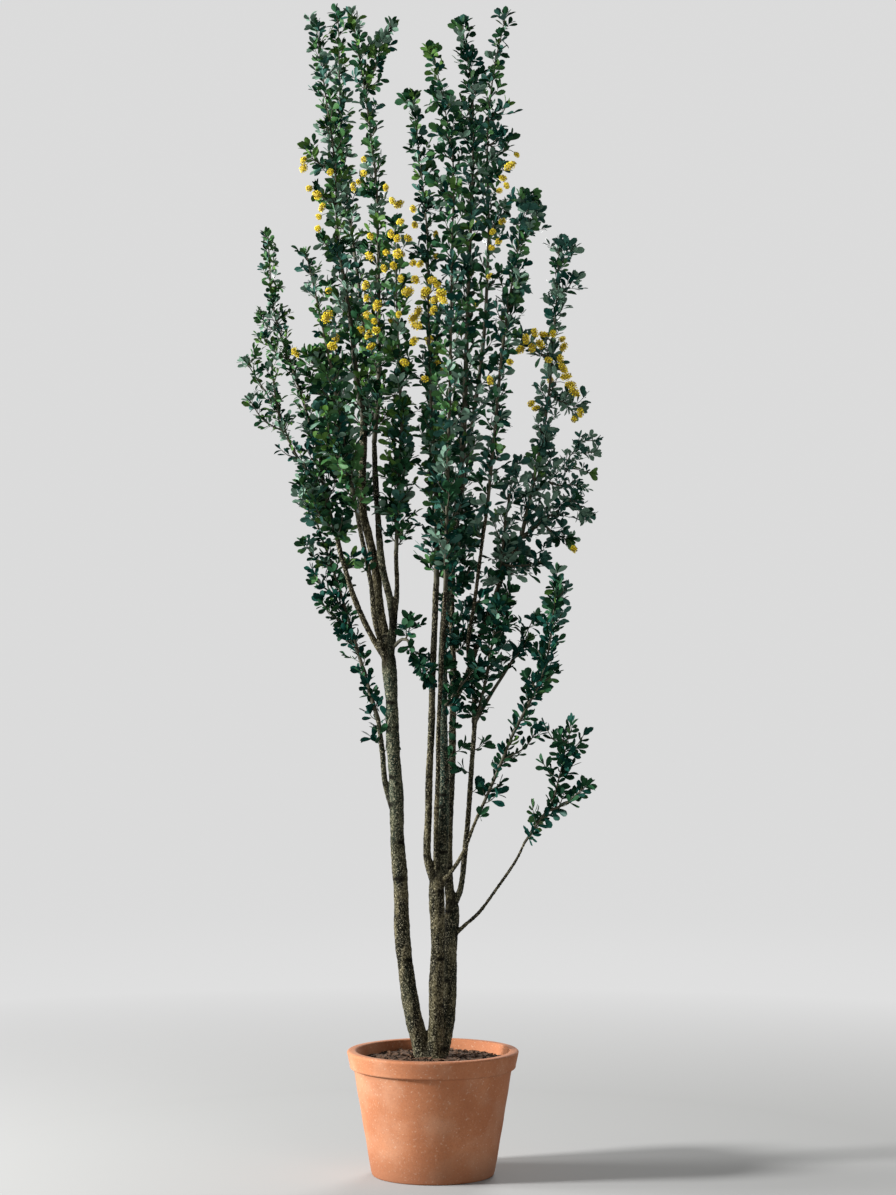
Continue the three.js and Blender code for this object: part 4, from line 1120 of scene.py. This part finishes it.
# Odds of each tint to the left, in the middle and to the right; the many grey leaves to the right are painted
# light where the rest of the crown shades that side
TINT_PLACES = (-170, 60, 240)
TINT_ODDS = np.array([
    (0.2, 0.11, 0.26, 0.2, 0.12, 0.07, 0.04),
    (0.28, 0.22, 0.13, 0.12, 0.04, 0.11, 0.1),
    (0.04, 0.42, 0.04, 0.44, 0.02, 0, 0.04),
])
# Odds low down, mostly dark tints: painted shade on the low leaves
LOW_PAINTED_SHADE_TINTS = (0.24, 0.04, 0.02, 0, 0.01, 0.33, 0.36)


def tint_dealer(rng):
    """Deals out leaf tints by spray: greener to the left and at the top, bluer to the right, with many pale
    grey leaves there that are painted light on the side the rest of the crown shades, and darker low down,
    which is painted shade."""
    def tint_at(place):
        across = place[0] - 0.12 * (place[2] - 1800)
        odds = np.array([np.interp(across, TINT_PLACES, column) for column in TINT_ODDS.T])
        odds = mix(np.array(LOW_PAINTED_SHADE_TINTS), odds, float(np.interp(place[2], [1280, 1700], [0, 1])))
        return int(rng.choice(len(odds), p=odds / odds.sum()))
    return tint_at


def side_leaders(forks, main):
    """A mass's side leaders, which sag a little on their way."""
    found = []
    for at, end in forks:
        start, end = main.place(at), np.array(end, float)
        middle = (start + end) / 2
        middle[2] -= np.linalg.norm(end - start) * FORK_SAG
        onward = end + unit(end - middle) * FORK_GROWTH
        found.append(Limb([start, middle, end, onward], LEADER_JOINT_RADIUS, LEADER_TIP_RADIUS))
    return found


def shoot_from(limb, spot, back):
    """A rising side shoot from the nearest fit place on a limb to a tip that shows at a spot."""
    share = np.linspace(0.02, 0.98, 90)
    starts = limb.place(share)
    shown = seen(starts)
    aside = np.abs(shown[:, 0] - spot[0])
    too_high = np.maximum(0, shown[:, 1] - spot[1] + 0.9 * aside)
    best = np.argmin(np.linalg.norm(shown - spot, axis=1) + 2 * too_high)
    start = starts[best]
    tip = behind(spot, start[1] + back)
    tip -= unit(tip - start) * SHOOT_SHORT
    middle = (start + tip) / 2 + (tip - start) * (0.12, 0.12, -0.12)
    return Limb([start, middle, tip], min(2.6, limb.radius(share[best])), LEADER_TIP_RADIUS)


def part_of(name):
    """The part of the plant that a mass or limb belongs to."""
    return PARTS[name.split("_")[0]]


def grow_crown(limbs, rng):
    """All masses of foliage, by the part of the plant they belong to."""
    carried = {carrier for _, carrier, at, *_ in MASSES if at == 1}
    tint_at = tint_dealer(rng)
    crowns = {}
    grown = dict(limbs)
    for index, (name, carrier, at, reach, fill, through, *forks) in enumerate(MASSES):
        crown = crowns.setdefault(part_of(name), Crown(rng))
        parent = grown[carrier]
        is_free = name not in carried
        places = [parent.foot(at), *through]
        if is_free:
            ahead = unit(np.subtract(places[-1], places[-2]))
            places.append(np.add(places[-1], ahead * TIP_GROWTHS.get(name, TIP_GROWTH)))
        foot_radius = parent.radius(1) if at == 1 else min(LEADER_FOOT_RADIUS, parent.radius(1))
        main = Limb(places, foot_radius, LEADER_TIP_RADIUS if is_free else LEADER_JOINT_RADIUS)
        grown[name] = main
        number = seeded_numbers(SEED + index * SEED_STEP)
        habit = (name, reach, fill, BARE_SHARES.get(name, LEADER_BARE))
        crown.leader(main, habit, next(number) * 2 * math.pi, is_free, tint_at)
        for fork in side_leaders(forks, main):
            crown.leader(fork, habit, next(number) * 2 * math.pi, True, tint_at)
    for carrier, *tips in SHOOTS:
        fill = PAIRED_SHOOT_FILL if carrier in PAIRED else SHOOT_FILL
        habit = (carrier, SHOOT_REACH, fill, LEADER_BARE)
        for across, up, back in tips:
            shoot = shoot_from(grown[carrier], np.array([across, up]) * 10, back)
            crowns[part_of(carrier)].leader(shoot, habit, rng.uniform(0, 2 * math.pi), True, tint_at)
    crown = crowns["right"]
    crown.size = 1.0
    for name, share, angle, length in SPURS:
        limb = limbs[name]
        outward = np.array([math.cos(angle), math.sin(angle), 0])
        place = limb.place(share)
        crown.twig(place + outward * limb.radius(share) * 0.8, unit(outward + (0, 0, 0.5)), length, 1.4,
                   tint_at(place))
    return crowns


# Blossom
HEAD_STRETCH = (1.25, 1.85)
FLOWER_SIZES = (2.2, 3.1)
# Odds of the plain, deep and pale flower tints; the deep tint is painted shade
PETAL_ODDS = (0.55, 0.3, 0.15)
TWIN_EVERY = 3
TWIN_REACH = 60
STALK_LENGTHS = (26, 38)
CLUSTER_MARGIN = 5
CLEAR_DEPTH = 70


def seen(places):
    """Where places show, measured in the upright plane through the origin that faces the viewer."""
    places = np.asarray(places, float)
    scale = -EYE[1] / (places[..., 1:2] - EYE[1])
    return np.concatenate([EYE[0] + (places[..., :1] - EYE[0]) * scale,
                           EYE[2] + (places[..., 2:] - EYE[2]) * scale], axis=-1)


def behind(spot, depth):
    """The place at a depth that shows at a spot of that plane."""
    scale = (depth - EYE[1]) / -EYE[1]
    return np.array([EYE[0] + (spot[0] - EYE[0]) * scale, depth, EYE[2] + (spot[1] - EYE[2]) * scale])


def floret():
    """One small pea flower of radius 1: a two-lobed standard behind, and a plump keel in front."""
    standard = [(0, -0.1, -0.2), (0, 0.45, 0.75), (0.85, 0.1, 0.35), (0.62, 0.55, 0.95), (-0.85, 0.1, 0.35),
                (-0.62, 0.55, 0.95), (0, 0.1, 0.3)]
    standard_faces = [(0, 2, 6), (6, 2, 3), (6, 3, 1), (0, 6, 4), (6, 5, 4), (6, 1, 5)]
    keel = [(0, -0.75, 0.1), (0.5, -0.3, 0.2), (0, 0.15, 0.15), (-0.5, -0.3, 0.2), (0, -0.45, 0.85),
            (0, -0.3, -0.3)]
    keel_faces = [(0, 1, 4), (1, 2, 4), (2, 3, 4), (3, 0, 4), (1, 0, 5), (2, 1, 5), (3, 2, 5), (0, 3, 5)]
    faces = standard_faces + [tuple(corner + len(standard) for corner in face) for face in keel_faces]
    return np.array(standard + keel), np.array(faces)


class Bloom:
    """The blossom: clusters of small flowers, and the stalks that carry them."""

    def __init__(self, rng):
        self.rng = rng
        self.flowers = Forms()
        self.stalks = Forms()
        self.clusters = []

    def cluster(self, centre, axis, size):
        """Small flowers packed over an egg-shaped head, whose long axis follows its stalk."""
        corners, faces = floret()
        radius = size * 0.3
        stretch = self.rng.uniform(*HEAD_STRETCH)
        count = int(18 + size)
        core = np.linspace(-0.9, 0.9, 5)
        line = centre + axis * (core * radius * stretch)[:, None]
        # The head's core, in the deep tint, is painted shade in the gaps between the flowers
        self.flowers.add(*tube(line, 0.86 * radius * np.sqrt(1 - core * core), 8), 1)
        for i in range(count):
            height = 1 - 2 * (i + 0.5) / count
            ring = math.sqrt(1 - height * height)
            outward = ring * outward_of(axis, i * GOLDEN_ANGLE) + height * axis
            away = outward * radius + axis * height * radius * (stretch - 1)
            spot = centre + away * self.rng.uniform(0.86, 1.16)
            first, second = sides_of(unit(outward + self.rng.normal(0, 0.25, 3)))
            out = np.cross(first, second)
            flower = self.rng.uniform(*FLOWER_SIZES) * (corners @ np.array([first, second, out]))
            self.flowers.add(flower + spot, faces, int(self.rng.choice(3, p=PETAL_ODDS)))
        self.clusters.append((centre, size))

    def carried(self, place, centre, size):
        """A cluster on its stalk, which leaves the leader at a place."""
        middle = (place + centre) / 2 + (0, 0, 6)
        line = Limb([place, middle, centre], 1.1, 0.7)
        self.stalks.add(*line.skin(5, 4), 1)
        self.cluster(centre, unit(0.7 * line.heading(0.9) + self.rng.normal(0, 0.55, 3) * (1, 0.4, 1)), size)


def grow_bloom(crowns, rng):
    """The clusters that the photograph shows, and others like them round the sides and back."""
    bloom = Bloom(rng)
    axes = [axis for crown in crowns.values() for axis in crown.axes]
    samples = np.concatenate([axis.place(np.linspace(0.02, 1, 60)) for axis in axes])
    spots = seen(samples)
    for number, (across, up, size) in enumerate(BLOSSOM):
        spot = np.array([across * 10, up * 10])
        below = np.maximum(0, spot[1] - spots[:, 1])
        distance = np.linalg.norm(spots - spot, axis=1) + 0.3 * below + 0.03 * samples[:, 1]
        carrier = samples[np.argmin(distance)]
        forward = max(14, 50 - 0.6 * np.linalg.norm(seen(carrier) - spot))
        bloom.carried(carrier, behind(spot, carrier[1] - forward), size)
        if number % TWIN_EVERY == 0:
            angle = rng.uniform(0.1, math.pi - 0.1)
            outward = unit([math.cos(angle), math.sin(angle), rng.uniform(-0.3, 0.3)])
            twin = carrier + outward * TWIN_REACH + (0, 0, rng.uniform(-TWIN_REACH, TWIN_REACH))
            host = samples[np.argmin(np.linalg.norm(samples - twin, axis=1))]
            bloom.carried(host, host + outward * rng.uniform(*STALK_LENGTHS), size * rng.uniform(0.8, 1.05))
    return bloom


def clear_of(clusters):
    """A test for leaf places: none stands in a cluster or just in front of it."""
    centres = np.array([centre for centre, _ in clusters])
    radii = np.array([size for _, size in clusters]) * 0.5 + CLUSTER_MARGIN

    def is_kept(places):
        kept = np.ones(len(places), bool)
        for centre, radius in zip(centres, radii):
            away = places - centre
            aside = np.hypot(away[:, 0], away[:, 2])
            in_front = (away[:, 1] < 0) & (away[:, 1] > -CLEAR_DEPTH) & (aside < radius * 0.9)
            kept &= ~((np.linalg.norm(away, axis=1) < radius) | in_front)
        return kept
    return is_kept


PETALS = [
    # The deep tint is painted shade, on the head's core and on some flowers
    ("petal", (0.76, 0.63, 0.025)),
    ("petal_painted_shade", (0.3, 0.222, 0.009)),
    ("petal_pale", (0.86, 0.75, 0.08)),
]


def make_crown(limbs, rng):
    """Foliage and blossom as joined pieces, one of each kind for each part of the plant."""
    crowns = grow_crown(limbs, rng)
    bloom = grow_bloom(crowns, rng)
    tints = [leaf_material(*tint) for tint in LEAF_TINTS]
    wood = [twig_material("twig", (0.016, 0.016, 0.008), (0.06, 0.055, 0.032)),
            twig_material("green_stalk", (0.04, 0.06, 0.02), (0.1, 0.13, 0.05))]
    petals = [petal_material(*petal) for petal in PETALS]
    is_kept = clear_of(bloom.clusters)
    nodes = {part: [f"{name}_foliage" for name, *_ in MASSES if part_of(name) == part] for part in crowns}
    for part, crown in crowns.items():
        rows = np.array(crown.leaves)
        middles = rows[:, :3] + 0.5 * rows[:, 3:6] * rows[:, 9:10]
        joined_leaves(rows[is_kept(middles)], rng).made(f"leaves_{part}", tints, "leaf", nodes[part])
        crown.twigs.made(f"twigs_{part}", wood, "bark", nodes[part])
    bloom.flowers.made("blossom", petals, "leaf", nodes["left"], smooth=False)
    bloom.stalks.made("blossom_stalks", wood, "leaf", nodes["left"])


# Stage: each lamp has a name, a place, a width in metres and a power in watts
LAMPS = [
    ("key", (-6.7, -1.7, 3.3), 1.3, 500),
    ("fill", (3, -6, 3), 3.5, 26),
    ("side", (-5.4, 0.3, 2), 1.6, 145),
    ("back", (1.5, 6, 4), 3, 150),
]
LAMP_SPREAD = 120
LAMP_AIM = (0, 0, 1.4)
SKY_STRENGTH = 0.1


def make_floor():
    """A pale round floor that sweeps up into the same glowing backdrop on every side."""
    sweep = [(FLOOR_REACH + SWEEP * math.sin(a), SWEEP - SWEEP * math.cos(a))
             for a in np.linspace(0, math.pi / 2, 24)]
    profile = [(0, 0), (1, 0), (6, 0), *sweep, (FLOOR_REACH + SWEEP, WALL_TOP), (0, WALL_TOP)]
    corners, faces = turned(profile, FLOOR_SIDES)
    mesh = bpy.data.meshes.new("floor")
    mesh.from_pydata(corners[:-1].tolist(), [], faces[:-FLOOR_SIDES].tolist())
    shade(mesh)
    shader = Shader("pale_floor", 0.9, 0)
    away = shader.node("ShaderNodeVectorMath", {0: shader.place}, operation="LENGTH").outputs["Value"]
    far = shader.ramp(away, *GLOW_REACH)
    shader.give("Emission Color", (1, 1, 1)).give("Emission Strength", shader.scaled(far, WALL_GLOW))
    shader.coloured(shader.blend(far, (0.36, 0.36, 0.355), (0.03, 0.03, 0.03)))
    shader.material.cycles.emission_sampling = "NONE"
    mesh.materials.append(shader.material)
    floor = placed("floor", mesh)


def make_lights():
    """Soft light that is strongest from the upper left, and a faint white sky."""
    world = bpy.data.worlds.new("studio")
    world.use_nodes = True
    sky = world.node_tree.nodes["Background"]
    sky.inputs["Color"].default_value = (1, 1, 1, 1)
    sky.inputs["Strength"].default_value = SKY_STRENGTH
    bpy.context.scene.world = world
    bpy.context.scene.view_settings.view_transform = "Standard"
    for name, place, size, power in LAMPS:
        lamp = bpy.data.lights.new(name, "AREA")
        lamp.shape = "DISK"
        lamp.size = size
        lamp.energy = power
        lamp.spread = math.radians(LAMP_SPREAD)
        light = placed(name, lamp)
        light.location = place
        light.rotation_euler = (Vector(LAMP_AIM) - Vector(place)).to_track_quat("-Z", "Y").to_euler()
        light.visible_camera = False


def make_camera():
    """The photograph's viewpoint."""
    camera = placed("camera", bpy.data.cameras.new("camera"))
    camera.location = Vector(EYE) * MM
    camera.rotation_euler = (math.pi / 2, 0, 0)
    camera.data.sensor_width = 36
    camera.data.lens = LENS
    camera.data.clip_end = 100
    bpy.context.scene.camera = camera


random = np.random.default_rng(SEED)
make_floor()
make_lights()
make_camera()
make_pot()
make_soil(random)
wood_limbs = grow_wood()
make_bark(wood_limbs, random)
make_crown(wood_limbs, random)
